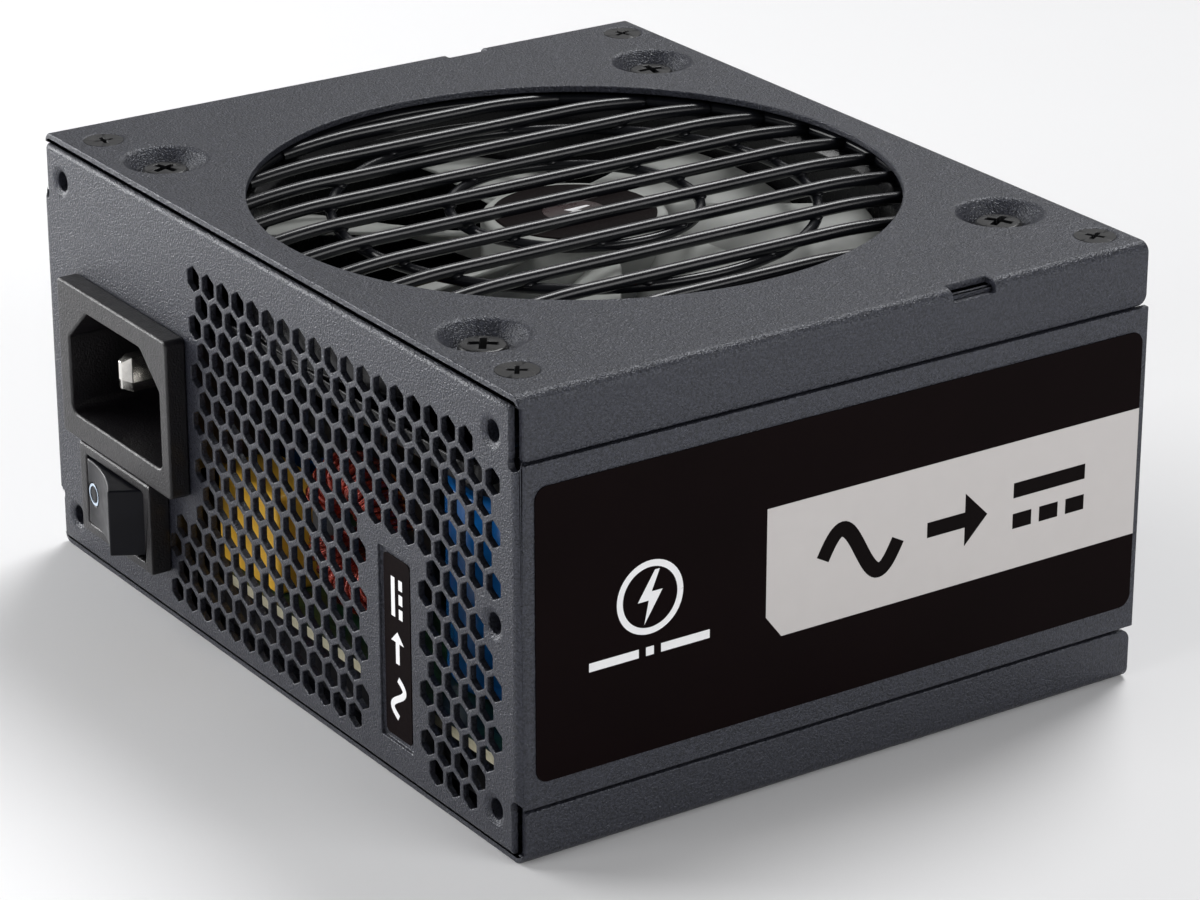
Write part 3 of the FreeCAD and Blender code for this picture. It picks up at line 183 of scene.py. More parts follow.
def circuit_board(name, across):
    """Dark green solder mask over copper tracks, and bare laminate on the edges of the board."""
    finish = Finish(name, (0.012, 0.045, 0.022), 0.32, Coat_Weight=0.3, Coat_Roughness=0.15)
    tracks = finish.spread(finish.noise(5.0, 1.0, finish.stretched((1, 2.2, 1))), 0.47, 0.53, 0.0, 1.0)
    mask = finish.mix(tracks, (0.010, 0.036, 0.018), (0.020, 0.070, 0.032))
    parts = finish.add("ShaderNodeSeparateXYZ", Vector=finish.add("ShaderNodeNewGeometry").outputs["Normal"])
    facing = finish.add("ShaderNodeMath", Value=parts.outputs[across])
    facing.operation = "ABSOLUTE"
    edge = finish.spread(facing.outputs["Value"], 0.3, 0.6, 1.0, 0.0)
    fibres = finish.mix(finish.noise(0.5, 2.0), (0.55, 0.50, 0.33), (0.80, 0.76, 0.58))
    finish.paint(finish.mix(edge, mask, fibres))
    finish.bump(tracks, 0.03)
    return finish.material


def enamelled_wire():
    """Dark red wire enamel over copper."""
    finish = Finish("copper_wire", (0.32, 0.035, 0.018), 0.24, 0.75, Coat_Weight=0.6, Coat_Roughness=0.1)
    finish.vary(1.5, 0.55, 1.35)
    finish.vary_gloss(0.9, 0.17, 0.36)
    finish.bump(finish.noise(0.6, 2.0), 0.01)
    return finish.material


def label_film():
    """Brown-black printed film with a satin skin."""
    finish = Finish("label_film", (0.0040, 0.0016, 0.0018), 0.5, Specular_IOR_Level=0.03)
    finish.vary(14.0, 0.9, 1.12)
    finish.vary_gloss(0.5, 0.38, 0.47)
    finish.bump(finish.noise(0.35, 1.0), 0.004)
    return finish.material


def mill_aluminium():
    finish = Finish("aluminium", (0.52, 0.52, 0.53), 0.36, 1.0)
    finish.vary(3.0, 0.88, 1.06)
    finish.vary_gloss(0.7, 0.28, 0.46)
    finish.bump(finish.noise(1.2, 3.0, finish.stretched((6, 6, 0.6))), 0.012)
    return finish.material


def wrapped_tape():
    """Yellow polyester tape in overlapping turns."""
    finish = Finish("tape", (0.55, 0.40, 0.05), 0.28, Coat_Weight=0.25, Coat_Roughness=0.12)
    finish.vary(3.5, 0.86, 1.1)
    finish.bump(finish.noise(2.4, 1.0, finish.stretched((0.3, 0.3, 3.0))), 0.08)
    return finish.material


FINISHES = {
    "powder_coat": powder_coat(),
    "black_screw": moulded("black_screw", (0.006, 0.006, 0.007), 0.3, 0.4, 0.008,
                           Specular_IOR_Level=0.3),
    "steel": metal("steel", (0.58, 0.57, 0.55), 0.3, 0.5, 0.012, (1, 1, 5)),
    "label_film": label_film(),
    "label_grey": moulded("label_grey", (0.575, 0.55, 0.54), 0.5, 0.35, 0.004, 0.01,
                           Specular_IOR_Level=0.1),
    "label_white": moulded("label_white", (0.86, 0.86, 0.87), 0.36, 0.35, 0.004, 0.01),
    "label_black": moulded("label_black", (0.0045, 0.003, 0.003), 0.5, 0.35, 0.004,
                            Specular_IOR_Level=0.03),
    "label_red_brown": moulded("label_red_brown", (0.020, 0.004, 0.004), 0.3, 0.4, 0.006),
    "grille_wire": enamel("grille_wire", (0.006, 0.0064, 0.0085), 0.24),
    "fan_plastic": moulded("fan_plastic", (0.008, 0.008, 0.009), 0.26, 0.5, 0.006),
    "blade_plastic": moulded("blade_plastic", (0.34, 0.35, 0.335), 0.5, 0.5, 0.006, 0.04,
                             Specular_IOR_Level=0.3),
    "bronze": metal("bronze", (0.42, 0.28, 0.14), 0.4, 0.25, 0.02),
    "ferrite": moulded("ferrite", (0.045, 0.045, 0.048), 0.55, 0.3, 0.03),
    "copper_wire": enamelled_wire(),
    "circuit_board": circuit_board("circuit_board", "Z"),
    "board_across_x": circuit_board("board_across_x", "X"),
    "board_across_y": circuit_board("board_across_y", "Y"),
    "black_plastic": moulded("black_plastic", (0.0055, 0.0046, 0.006), 0.4, 0.3, 0.09,
                             Specular_IOR_Level=0.55),
    "nickel_plate": metal("nickel_plate", (0.78, 0.76, 0.72), 0.2, 0.6, 0.008, (1, 0.3, 1)),
    "rocker_plastic": moulded("rocker_plastic", (0.006, 0.0062, 0.009), 0.34, 0.4, 0.006,
                              Specular_IOR_Level=0.18),
    "mark_paint": moulded("mark_paint", (0.52, 0.62, 0.74), 0.4, 0.3, 0.01),
    "insulator_film": moulded("insulator_film", (0.045, 0.045, 0.05), 0.4, 1.2, 0.02),
    "yellow_plastic": moulded("yellow_plastic", (0.95, 0.55, 0.06), 0.38, 0.6, 0.01),
    "blue_sleeve": moulded("blue_sleeve", (0.008, 0.13, 0.42), 0.2, 0.8, 0.008,
                           Coat_Weight=0.3, Coat_Roughness=0.08),
    "ceramic": moulded("ceramic", (0.62, 0.60, 0.54), 0.25, 1.0, 0.01),
    "component_plastic": moulded("component_plastic", (0.016, 0.016, 0.017), 0.45, 0.25, 0.015),
    "aluminium": mill_aluminium(),
    "tape": wrapped_tape(),
    "dark_sleeve": moulded("dark_sleeve", (0.018, 0.014, 0.016), 0.24, 0.8, 0.008),
    "socket_plastic": moulded("socket_plastic", (0.014, 0.014, 0.015), 0.4, 0.3, 0.012),
    "brass": metal("brass", (0.80, 0.66, 0.36), 0.26, 0.5, 0.01),
}


# ---------------------------------------------------------------- making pieces

def as_mesh(name, shape):
    """A mesh in metres from a bmesh in millimetres."""
    bmesh.ops.recalc_face_normals(shape, faces=shape.faces)
    mesh = bpy.data.meshes.new(name)
    shape.to_mesh(mesh)
    shape.free()
    mesh.transform(Matrix.Scale(MM, 4))
    return mesh


def modified(mesh, *steps):
    """The mesh after a stack of modifiers, each given as a kind and its settings."""
    carrier = bpy.data.objects.new("carrier", mesh)
    bpy.context.scene.collection.objects.link(carrier)
    for kind, settings in steps:
        modifier = carrier.modifiers.new(kind.lower(), kind)
        for setting, value in settings.items():
            setattr(modifier, setting, value)
    graph = bpy.context.evaluated_depsgraph_get()
    made = bpy.data.meshes.new_from_object(carrier.evaluated_get(graph))
    bpy.data.objects.remove(carrier)
    return made


def eased(mesh, width, segments=2, angle=28.0):
    """Round the sharp edges by a width in millimetres, and keep flat faces flat in the light."""
    mesh.shade_smooth()
    bevel = {"width": width * MM, "segments": segments, "limit_method": "ANGLE", "use_clamp_overlap": False,
             "angle_limit": math.radians(angle), "miter_outer": "MITER_ARC"}
    flat_first = {"mode": "FACE_AREA", "weight": 90, "keep_sharp": True}
    return modified(mesh, ("BEVEL", bevel), ("WEIGHTED_NORMAL", flat_first))


def add_piece(name, mesh, slot, body="case", nodes=(), finish=None):
    """Put a mesh in the scene as a piece that rides on a body and may stand for CAD nodes."""
    piece = bpy.data.objects.new(name, mesh)
    bpy.context.scene.collection.objects.link(piece)
    mesh.materials.clear()
    mesh.materials.append(FINISHES[finish or slot])
    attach(piece, body)
    if nodes:
        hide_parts(*nodes)
    return piece


def cad_copy(node):
    """A clean copy of a CAD node's mesh: corners joined and flat areas made whole."""
    shape = bmesh.new()
    shape.from_mesh(frame["nodes"][node].data)
    bmesh.ops.remove_doubles(shape, verts=shape.verts, dist=0.002 * MM)
    bmesh.ops.dissolve_limit(shape, angle_limit=math.radians(0.6), verts=shape.verts, edges=shape.edges)
    mesh = bpy.data.meshes.new(node + "_clean")
    shape.to_mesh(mesh)
    shape.free()
    return mesh


def sliced(mesh, places, axis=0):
    """The mesh with its faces cut along planes across an axis, which keeps pierced walls in simple faces."""
    shape = bmesh.new()
    shape.from_mesh(mesh)
    normal = Vector([float(index == axis) for index in range(3)])
    for place in places:
        everything = list(shape.verts) + list(shape.edges) + list(shape.faces)
        bmesh.ops.bisect_plane(shape, geom=everything, dist=0.002 * MM, plane_co=normal * place * MM,
                               plane_no=normal)
    shape.to_mesh(mesh)
    shape.free()
    return mesh


def middles(node, gap=0.5):
    """Places half-way between a node's neighbouring corners along X, in millimetres."""
    places = sorted({round(vertex.co.x / MM, 2) for vertex in frame["nodes"][node].data.vertices})
    return [(first + last) / 2 for first, last in zip(places, places[1:]) if last - first > gap]


def eased_copy(node, width, segments=2, angle=28.0, slices=(), finish=None):
    """A CAD node's own shape with rounded edges, standing for that node."""
    mesh = eased(sliced(cad_copy(node), slices), width, segments, angle)
    return add_piece(node + "_finished", mesh, SLOT_OF[node], BODY_OF[node], [node], finish)


def lathe(profile, segments=64, centre=(0, 0, 0), shape=None):
    """Turn a profile of (radius, height) points about an upright axis."""
    shape = shape or bmesh.new()
    rings = []
    for radius, height in profile:
        if radius < 1e-6:
            rings.append([shape.verts.new((centre[0], centre[1], centre[2] + height))] * segments)
            continue
        rings.append([shape.verts.new((centre[0] + radius * math.cos(turn), centre[1] + radius * math.sin(turn),
                                       centre[2] + height))
                      for turn in (2 * math.pi * step / segments for step in range(segments))])
    for lower, upper in zip(rings, rings[1:]):
        for step in range(segments):
            after = (step + 1) % segments
            corners = [lower[step], lower[after], upper[after], upper[step]]
            kept = [corner for index, corner in enumerate(corners) if corner not in corners[:index]]
            if len(kept) > 2:
                shape.faces.new(kept)
    return shape


def arc(centre, radius, start, end, steps):
    """Points along an arc in a profile's plane, angles in degrees."""
    turns = [math.radians(start + (end - start) * step / steps) for step in range(steps + 1)]
    return [(centre[0] + radius * math.cos(turn), centre[1] + radius * math.sin(turn)) for turn in turns]


def wires(name, routes, radius, closed=False, sides=4):
    """Round wires along routes of points, as one mesh."""
    curve = bpy.data.curves.new(name, "CURVE")
    curve.dimensions = "3D"
    curve.bevel_depth = radius * MM
    curve.bevel_resolution = sides
    curve.use_fill_caps = not closed
    for route in routes:
        spline = curve.splines.new("POLY")
        spline.points.add(len(route) - 1)
        for point, place in zip(spline.points, route):
            point.co = (*(Vector(place) * MM), 1)
        spline.use_cyclic_u = closed
    carrier = bpy.data.objects.new(name, curve)
    mesh = bpy.data.meshes.new_from_object(carrier)
    bpy.data.objects.remove(carrier)
    mesh.shade_smooth()
    return mesh


def joined(name, meshes):
    """Several meshes as one."""
    shape = bmesh.new()
    for mesh in meshes:
        shape.from_mesh(mesh)
    made = bpy.data.meshes.new(name)
    shape.to_mesh(made)
    shape.free()
    return made


def smooth_but_sharp(mesh, angle=35.0):
    mesh.shade_smooth()
    mesh.set_sharp_from_angle(angle=math.radians(angle))
    return mesh


# ---------------------------------------------------------------- enclosure

# Distance between honeycomb cells along a row, and where the first and last columns stand.
VENT_PITCH, VENT_FIRST, VENT_LAST = 4.05, 54.8, -26.6


def enclosure():
    column = VENT_PITCH / 2
    columns = [VENT_FIRST + column - column * number
               for number in range(int((VENT_FIRST - VENT_LAST) / column) + 2)]
    eased_copy("case_frame", 0.16, slices=columns)
    eased_copy("top_cover", 0.2, 3)
    eased_copy("bottom_cover", 0.2)
    eased_copy("front_panel", 0.16, slices=middles("front_panel"))


def cross_cutter(reach, width, depth):
    """The tapered cross that a screwdriver tip fills."""
    shape = bmesh.new()
    for turn in (0, math.pi / 2):
        along, side = Vector((math.cos(turn), math.sin(turn), 0)), Vector((-math.sin(turn), math.cos(turn), 0))
        levels = []
        for height, long, wide in ((0.5, reach * 1.12, width * 1.1), (-depth, reach * 0.45, width * 0.8)):
            levels.append([shape.verts.new(along * long * a + side * wide / 2 * b + Vector((0, 0, height)))
                           for a, b in ((-1, -1), (1, -1), (1, 1), (-1, 1))])
        low, high = levels[1], levels[0]
        shape.faces.new(low[::-1])
        shape.faces.new(high)
        for step in range(4):
            after = (step + 1) % 4
            shape.faces.new([low[step], low[after], high[after], high[step]])
    return shape


def screw_mesh(profile, reach, width, depth, edge):
    """A screw with its head's top at height 0, and a cross recess."""
    mesh = as_mesh("screw", lathe(profile, 40))
    cutter_mesh = as_mesh("cross", cross_cutter(reach, width, depth))
    cutter = bpy.data.objects.new("cross", cutter_mesh)
    bpy.context.scene.collection.objects.link(cutter)
    made = modified(mesh, ("BOOLEAN", {"operation": "DIFFERENCE", "object": cutter, "solver": "EXACT",
                                       "use_self": True}))
    bpy.data.objects.remove(cutter)
    return eased(made, edge, 2, 40.0)


def solid_boxes(node):
    """Lowest and highest corner of each separate solid of a CAD node, in millimetres."""
    shape = bmesh.new()
    shape.from_mesh(frame["nodes"][node].data)
    bmesh.ops.remove_doubles(shape, verts=shape.verts, dist=0.002 * MM)
    unseen, boxes = set(shape.verts), []
    while unseen:
        island, edge = set(), [next(iter(unseen))]
        while edge:
            vertex = edge.pop()
            if vertex in island:
                continue
            island.add(vertex)
            edge.extend(link.other_vert(vertex) for link in vertex.link_edges)
        unseen -= island
        low = Vector([min(vertex.co[axis] for vertex in island) for axis in range(3)])
        high = Vector([max(vertex.co[axis] for vertex in island) for axis in range(3)])
        boxes.append((low / MM, high / MM))
    shape.free()
    return sorted(boxes, key=lambda corners: tuple(corners[0]))


def solid_centres(node):
    return [(low + high) / 2 for low, high in solid_boxes(node)]


def screws():
    flat_head = [(0, -5.0), (1.5, -5.0), (1.5, -1.1), (2.75, -0.12), (2.85, 0.0), (0, 0.0)]
    pan_head = ([(0, -9.0), (1.9, -9.0), (1.9, -1.3), (3.15, -1.3), (3.3, -1.1)]
                + arc((2.6, -0.75), 0.7, -10, 75, 5) + [(0, 0.06)])
    places = {
        "cover_screws": (flat_head, 1.55, 0.62, 0.9, Matrix.Identity(4), box_mm("cover_screws")[1].z),
        "bottom_screws": (flat_head, 1.55, 0.62, 0.9, Matrix.Rotation(math.pi, 4, "X"),
                          box_mm("bottom_screws")[0].z),
        "fan_screws": (pan_head, 2.15, 0.95, 1.3, Matrix.Identity(4), box_mm("fan_screws")[1].z),
    }
    for node, (profile, reach, width, depth, turn, level) in places.items():
        master = screw_mesh(profile, reach, width, depth, 0.07)
        copies = []
        for number, centre in enumerate(solid_centres(node)):
            copy = master.copy()
            spin = Matrix.Rotation(math.radians(17 + 64 * number), 4, "Z")
            copy.transform(Matrix.Translation(Vector((centre.x, centre.y, level)) * MM) @ turn @ spin)
            copies.append(copy)
        mesh = joined(node, copies)
        smooth_but_sharp(mesh)
        add_piece(node + "_finished", mesh, SLOT_OF[node], "case", [node])


# ---------------------------------------------------------------- labels

def bolt(centre, height):
    """A lightning bolt."""
    outline = [(0.10, 0.5), (-0.26, -0.06), (-0.03, -0.06), (-0.12, -0.5), (0.26, 0.10), (0.03, 0.10),
               (0.2, 0.5)]
    return [[(centre[0] + x * height, centre[1] + y * height) for x, y in outline]]


def band(points, width):
    """A stripe of even width along points, as joined four-sided pieces."""
    sides = []
    for index, point in enumerate(points):
        before, after = points[max(index - 1, 0)], points[min(index + 1, len(points) - 1)]
        along = (Vector(after) - Vector(before)).normalized()
        across = Vector((-along.y, along.x)) * width / 2
        sides.append((tuple(Vector(point) - across), tuple(Vector(point) + across)))
    return [[a[0], b[0], b[1], a[1]] for a, b in zip(sides, sides[1:])]


def ring_band(centre, radius, width):
    turns = [2 * math.pi * step / 48 for step in range(49)]
    return band([(centre[0] + radius * math.cos(turn), centre[1] + radius * math.sin(turn)) for turn in turns],
                width)


def bar(left, low, right, high):
    return [[(left, low), (right, low), (right, high), (left, high)]]


def mains_to_direct(left, middle, long, tall):
    """Alternating current, an arrow and direct current, in a strip that starts at left."""
    stroke = tall * 0.23
    wave = [(left + long * 0.28 * step / 40,
             middle + (tall - stroke) / 2 * math.sin(2 * math.pi * step / 40)) for step in range(41)]
    shapes = band(wave, stroke)
    start, tip = left + long * 0.39, left + long * 0.62
    head = tall * 0.40
    shapes += bar(start, middle - stroke / 2, tip - head, middle + stroke / 2)
    shapes += [[(tip - head, middle - head), (tip, middle), (tip - head, middle + head)]]
    first, last = left + long * 0.72, left + long
    shapes += bar(first, middle + tall * 0.12, last, middle + tall * 0.12 + stroke)
    dash = (last - first) * 0.26
    for number in range(3):
        at = first + (last - first - dash) * number / 2
        shapes += bar(at, middle - tall * 0.12 - stroke, at + dash, middle - tall * 0.12)
    return shapes


def printed(name, shapes, origin, right, up, finish, slot, lift, body="case"):
    """Flat printed shapes as thin raised ink, on the plane that origin, right and up give."""
    right, up = Vector(right), Vector(up)
    outward = right.cross(up)
    shape = bmesh.new()
    for outline in shapes:
        corners = [shape.verts.new(Vector(origin) + right * u + up * v) for u, v in outline]
        shape.faces.new(corners)
    bmesh.ops.remove_doubles(shape, verts=shape.verts, dist=0.0005)
    raised = bmesh.ops.extrude_face_region(shape, geom=list(shape.faces))
    moved = [item for item in raised["geom"] if isinstance(item, bmesh.types.BMVert)]
    bmesh.ops.translate(shape, verts=moved, vec=outward * lift)
    return add_piece(name, as_mesh(name, shape), slot, body, finish=finish)


def labels():
    eased_copy("side_label", 0.05)
    eased_copy("rear_label", 0.05)
    low, high = box_mm("side_label")
    origin, right, up = (high.x, 0, 0), (0, 1, 0), (0, 0, 1)
    ink = 0.015
    block_low, block_high, block_rear = low.z + 10.7, low.z + 29.0, low.y + 35.1
    block = [[(block_rear + 2.5, block_low), (high.y - 0.05, block_low), (high.y - 0.05, block_high),
              (block_rear, block_high), (block_rear, block_low + 3.2)]]
    printed("side_label_block", block, origin, right, up, "label_grey", "label_film", ink)
    middle = (block_low + block_high) / 2 - 0.1
    printed("side_label_symbols", mains_to_direct(block_rear + 8.9, middle, 43.6, 9.4),
            (high.x + ink, 0, 0), right, up, "label_black", "label_film", ink)
    badge = (low.y + 17.1, low.z + 21.4)
    emblem = ring_band(badge, 4.6, 0.9) + bolt(badge, 7.2)
    emblem += bar(badge[0] - 9.2, low.z + 13.4, badge[0] - 1.7, low.z + 14.6)
    emblem += bar(badge[0] - 0.6, low.z + 13.4, badge[0] + 0.6, low.z + 14.6)
    emblem += bar(badge[0] + 1.7, low.z + 13.4, badge[0] + 9.2, low.z + 14.6)
    printed("side_label_emblem", emblem, origin, right, up, "label_white", "label_film", ink)
    low, high = box_mm("rear_label")
    mark = mains_to_direct(low.z + 2.9, -(low.x + high.x) / 2, high.z - low.z - 5.8, 3.9)
    printed("rear_label_symbols", mark, (0, low.y, 0), (0, 0, 1), (-1, 0, 0), "label_white",
            "label_film", ink)


# ---------------------------------------------------------------- grille

BAR_LEVEL, BAR_DROP, BAR_RUN = 62.0, 1.0, 13.0
BAR_RADIUS, RING_WIRE, OUTER_RING = 0.9, 0.75, 46.6
INNER_RINGS = (17.3, 33.5)


def bar_line(across, steps=10):
    """One bar's centre line: level in the middle and curving down under the rim at both ends."""
    reach = math.sqrt(OUTER_RING ** 2 - across ** 2) - RING_WIRE * 0.9
    run = min(BAR_RUN, reach * 0.7)
    half = [(reach - run + run * step / steps, BAR_LEVEL - BAR_DROP * (step / steps) ** 1.8)
            for step in range(steps + 1)]
    return ([Vector((across, -along, level)) for along, level in reversed(half)]
            + [Vector((across, along, level)) for along, level in half])


def grille():
    low, high = box_mm("grille_bars")
    count = round((high.x - low.x - 2 * BAR_RADIUS) / 8.0) + 1
    spots = [low.x + BAR_RADIUS + (high.x - low.x - 2 * BAR_RADIUS) * number / (count - 1)
             for number in range(count)]
    bars = wires("grille_bars", [bar_line(across) for across in spots], BAR_RADIUS, sides=6)
    add_piece("grille_bars_finished", bars, "grille_wire", "case", ["grille_bars"])
    under = BAR_LEVEL - BAR_RADIUS - RING_WIRE + 0.25
    meshes = []
    for radius, level in [(radius, under) for radius in INNER_RINGS] + [(OUTER_RING, BAR_LEVEL - BAR_DROP)]:
        steps = 120
        loop = [(radius * math.cos(2 * math.pi * step / steps), radius * math.sin(2 * math.pi * step / steps),
                 level) for step in range(steps)]
        meshes.append(wires("ring", [loop], RING_WIRE, closed=True))
    legs = []
    cover_under = box_mm("top_cover")[1].z - 1.0 - RING_WIRE
    for number in range(4):
        turn = math.radians(45 + 90 * number)
        legs.append([(radius * math.cos(turn), radius * math.sin(turn), level) for radius, level in (
            (OUTER_RING, BAR_LEVEL - BAR_DROP), (OUTER_RING + 3.6, cover_under - 0.05),
            (OUTER_RING + 4.5, cover_under))])
    meshes.append(wires("legs", legs, RING_WIRE))
    nuggets = bmesh.new()
    for radius in INNER_RINGS:
        for across in [spot for spot in spots if abs(spot) < radius - 1]:
            for side in (-1, 1):
                along = side * math.sqrt(radius ** 2 - across ** 2)
                place = Matrix.Translation((across, along, under + RING_WIRE * 0.75))
                bmesh.ops.create_uvsphere(nuggets, u_segments=12, v_segments=8, radius=1.0,
                                          matrix=place @ Matrix.Diagonal((0.95, 1.05, 0.5, 1)))
    meshes.append(as_mesh("welds", nuggets))
    rings = joined("grille_rings", meshes)
    rings.shade_smooth()
    add_piece("grille_rings_finished", rings, "grille_wire", "case", ["grille_rings"])


# ---------------------------------------------------------------- fan

HUB_RADIUS, HUB_TOP, HUB_LOW, HUB_WALL = 13.0, 59.6, 48.6, 1.0
BLADE_TIP, BLADE_COUNT = 43.2, 7


def between(first, last, share):
    return first + (last - first) * share


def blade(turn):
    """One broad blade: a cambered sheet with thin rounded edges, swept back towards its tip."""
    root, radial, chordal = HUB_RADIUS - 0.3, 14, 16
    # Leading edge angle, sweep, lowest and highest level at the root and at each third of the span.
    stations = [(4, 40, 49.4, 56.9), (-4, 37, 49.6, 56.3), (-7, 35, 49.2, 55.5), (-6, 33, 48.8, 54.5)]
    shape = bmesh.new()
    faces = []
    for skin in (0, 1):
        rows = []
        for step in range(radial + 1):
            share = 3 * step / radial
            first = min(int(share), 2)
            lead, sweep, low, high = [between(a, b, share - first)
                                      for a, b in zip(stations[first], stations[first + 1])]
            radius = between(root, BLADE_TIP, step / radial)
            rows.append([])
            for column in range(chordal + 1):
                along = column / chordal
                angle = math.radians(turn + lead + sweep * along)
                thick = 0.5 + 1.0 * math.sin(math.pi * along) ** 0.5
                camber = 0.9 * math.sin(math.pi * along)
                level = between(low, high, along) + camber * 0.5 + (thick if skin else 0) + 0.3
                rows[-1].append(shape.verts.new((radius * math.cos(angle), radius * math.sin(angle), level)))
        faces.append(rows)
        for lower, upper in zip(rows, rows[1:]):
            for column in range(chordal):
                shape.faces.new([lower[column], lower[column + 1], upper[column + 1], upper[column]])
    below, above = faces
    rim = ([(below[step][0], above[step][0]) for step in range(radial + 1)]
           + [(below[-1][column], above[-1][column]) for column in range(1, chordal + 1)]
           + [(below[step][-1], above[step][-1]) for step in range(radial - 1, -1, -1)]
           + [(below[0][column], above[0][column]) for column in range(chordal - 1, 0, -1)])
    for (low_a, high_a), (low_b, high_b) in zip(rim, rim[1:] + rim[:1]):
        shape.faces.new([low_a, low_b, high_b, high_a])
    return as_mesh("blade", shape)


def fan():
    hub_profile = ([(0, HUB_TOP)] + arc((HUB_RADIUS - 0.9, HUB_TOP - 0.9), 0.9, 90, 0, 5)
                   + [(HUB_RADIUS, HUB_LOW + 0.3), (HUB_RADIUS - 0.3, HUB_LOW),
                      (HUB_RADIUS - HUB_WALL, HUB_LOW), (HUB_RADIUS - HUB_WALL, HUB_TOP - 1.4),
                      (0, HUB_TOP - 1.4)])
    hub = as_mesh("hub", lathe(hub_profile, 96))
    blades = [eased(blade(360 / BLADE_COUNT * number), 0.22, 2, 50) for number in range(BLADE_COUNT)]
    rotor = smooth_but_sharp(joined("rotor", [hub] + blades), 40)
    add_piece("fan_rotor_finished", rotor, "blade_plastic", "fan_wheel", ["fan_rotor"])
    low, high = box_mm("fan_hub_label")
    rim = high.x
    centre_radius = rim * 0.40
    grooves = [(radius, high.z + (0.045 if step % 2 else -0.02))
               for step, radius in enumerate([centre_radius + 0.3 + 0.21 * turn for turn in range(30)])]
    film = ([(0, low.z), (rim, low.z), (rim, high.z - 0.03), (rim - 0.05, high.z)] + grooves[::-1]
            + [(centre_radius, high.z), (0, high.z)])
    add_piece("fan_hub_label_finished", smooth_but_sharp(as_mesh("film", lathe(film, 96)), 60), "label_film",
              "fan_wheel", ["fan_hub_label"])
    disc = [(0, high.z + 0.001), (centre_radius - 0.1, high.z + 0.001), (centre_radius - 0.1, high.z + 0.03),
            (0, high.z + 0.03)]
    add_piece("fan_hub_disc", smooth_but_sharp(as_mesh("disc", lathe(disc, 64))), "label_film",
              "fan_wheel", finish="label_red_brown")
    printed("fan_hub_emblem", bolt((0, 0), 5.6), (0, 0, high.z + 0.031), (0.83, 0.56, 0), (-0.56, 0.83, 0),
            "label_white", "label_film", 0.02, "fan_wheel")
    eased_copy("fan_frame", 0.25)
    eased_copy("fan_motor_mount", 0.2)
    for node in ("fan_magnet_ring", "fan_stator", "fan_circuit_board", "fan_bearing"):
        eased_copy(node, 0.08)
    motor_coils()


def motor_coils():
    """Copper turns round each arm of the motor."""
    low, high = box_mm("fan_coils")
    routes = []
    for number in range(4):
        turn = Matrix.Rotation(math.radians(90 * number), 4, "Z")
        route, turns = [], 9
        for step in range(turns * 12 + 1):
            angle = 2 * math.pi * step / 12
            wide = 1.95 * math.copysign(abs(math.cos(angle)) ** 0.5, math.cos(angle))
            tall = (high.z - low.z - 0.5) / 2 * math.copysign(abs(math.sin(angle)) ** 0.5, math.sin(angle))
            along = between(6.15, high.x - 0.25, step / (turns * 12))
            route.append(turn @ Vector((along, wide, (low.z + high.z) / 2 + tall)))
        routes.append(route)
    add_piece("fan_coils_finished", wires("coils", routes, 0.17, sides=2), "copper_wire", "case", ["fan_coils"])


# ---------------------------------------------------------------- inlet and switch

PIN_TAPER, PIN_TAPER_LENGTH = 0.62, 1.5


def inlet_pins():
    """Flat plated pins whose tips taper on all four sides."""
    shape = bmesh.new()
    for low, high in solid_boxes("inlet_pins"):
        rings = []
        for along, shrink in ((low.y, PIN_TAPER), (low.y + PIN_TAPER_LENGTH, 0), (high.y, 0)):
            left, right = low.x + shrink, high.x - shrink
            bottom, top = low.z + shrink, high.z - shrink
            rings.append([shape.verts.new((x, along, z))
                          for x, z in ((left, bottom), (right, bottom), (right, top), (left, top))])
        shape.faces.new(rings[0])
        shape.faces.new(rings[-1][::-1])
        for front, back in zip(rings, rings[1:]):
            for step in range(4):
                after = (step + 1) % 4
                shape.faces.new([front[step], front[after], back[after], back[step]])
    mesh = eased(as_mesh("pins", shape), 0.14, 2, 12.0)
    add_piece("inlet_pins_finished", mesh, "nickel_plate", "case", ["inlet_pins"])


def inlet_and_switch():
    eased_copy("inlet_body", 0.4, 3)
    inlet_pins()
    eased_copy("switch_housing", 0.35, 3)
    eased_copy("switch_rocker", 0.3, 3)
    eased_copy("rocker_marks", 0.03)
    eased_copy("switch_terminals", 0.1)
    eased_copy("switch_pivot_pin", 0.1)


# ---------------------------------------------------------------- inside parts

def ring_winding(name, centre, axis, ring_radius, inner, outer, spans, turns, wire, node):
    """Wire wound round a ring core, in one span or more, each turn hugging the core."""
    tilts = {"Y": Matrix.Rotation(math.radians(-90), 4, "X"), "X": Matrix.Rotation(math.radians(90), 4, "Y")}
    tilt = tilts[axis]
    routes = []
    steps = 14
    for layer in (0, 1):
        radius = (inner + wire * 1.1) if layer == 0 else (outer - wire)
        for start, sweep in spans:
            route = []
            for step in range(turns * steps + 1):
                share = step / (turns * steps)
                ring = math.radians(start + 3 + (sweep - 6) * share)
                section = 2 * math.pi * step / steps + math.pi * layer
                reach = ring_radius + radius * math.cos(section)
                local = Vector((reach * math.cos(ring), reach * math.sin(ring), radius * math.sin(section)))
                route.append(Vector(centre) + tilt @ local)
            routes.append(route)
    add_piece(name, wires(name, routes, wire, sides=3), "copper_wire", "case", [node])


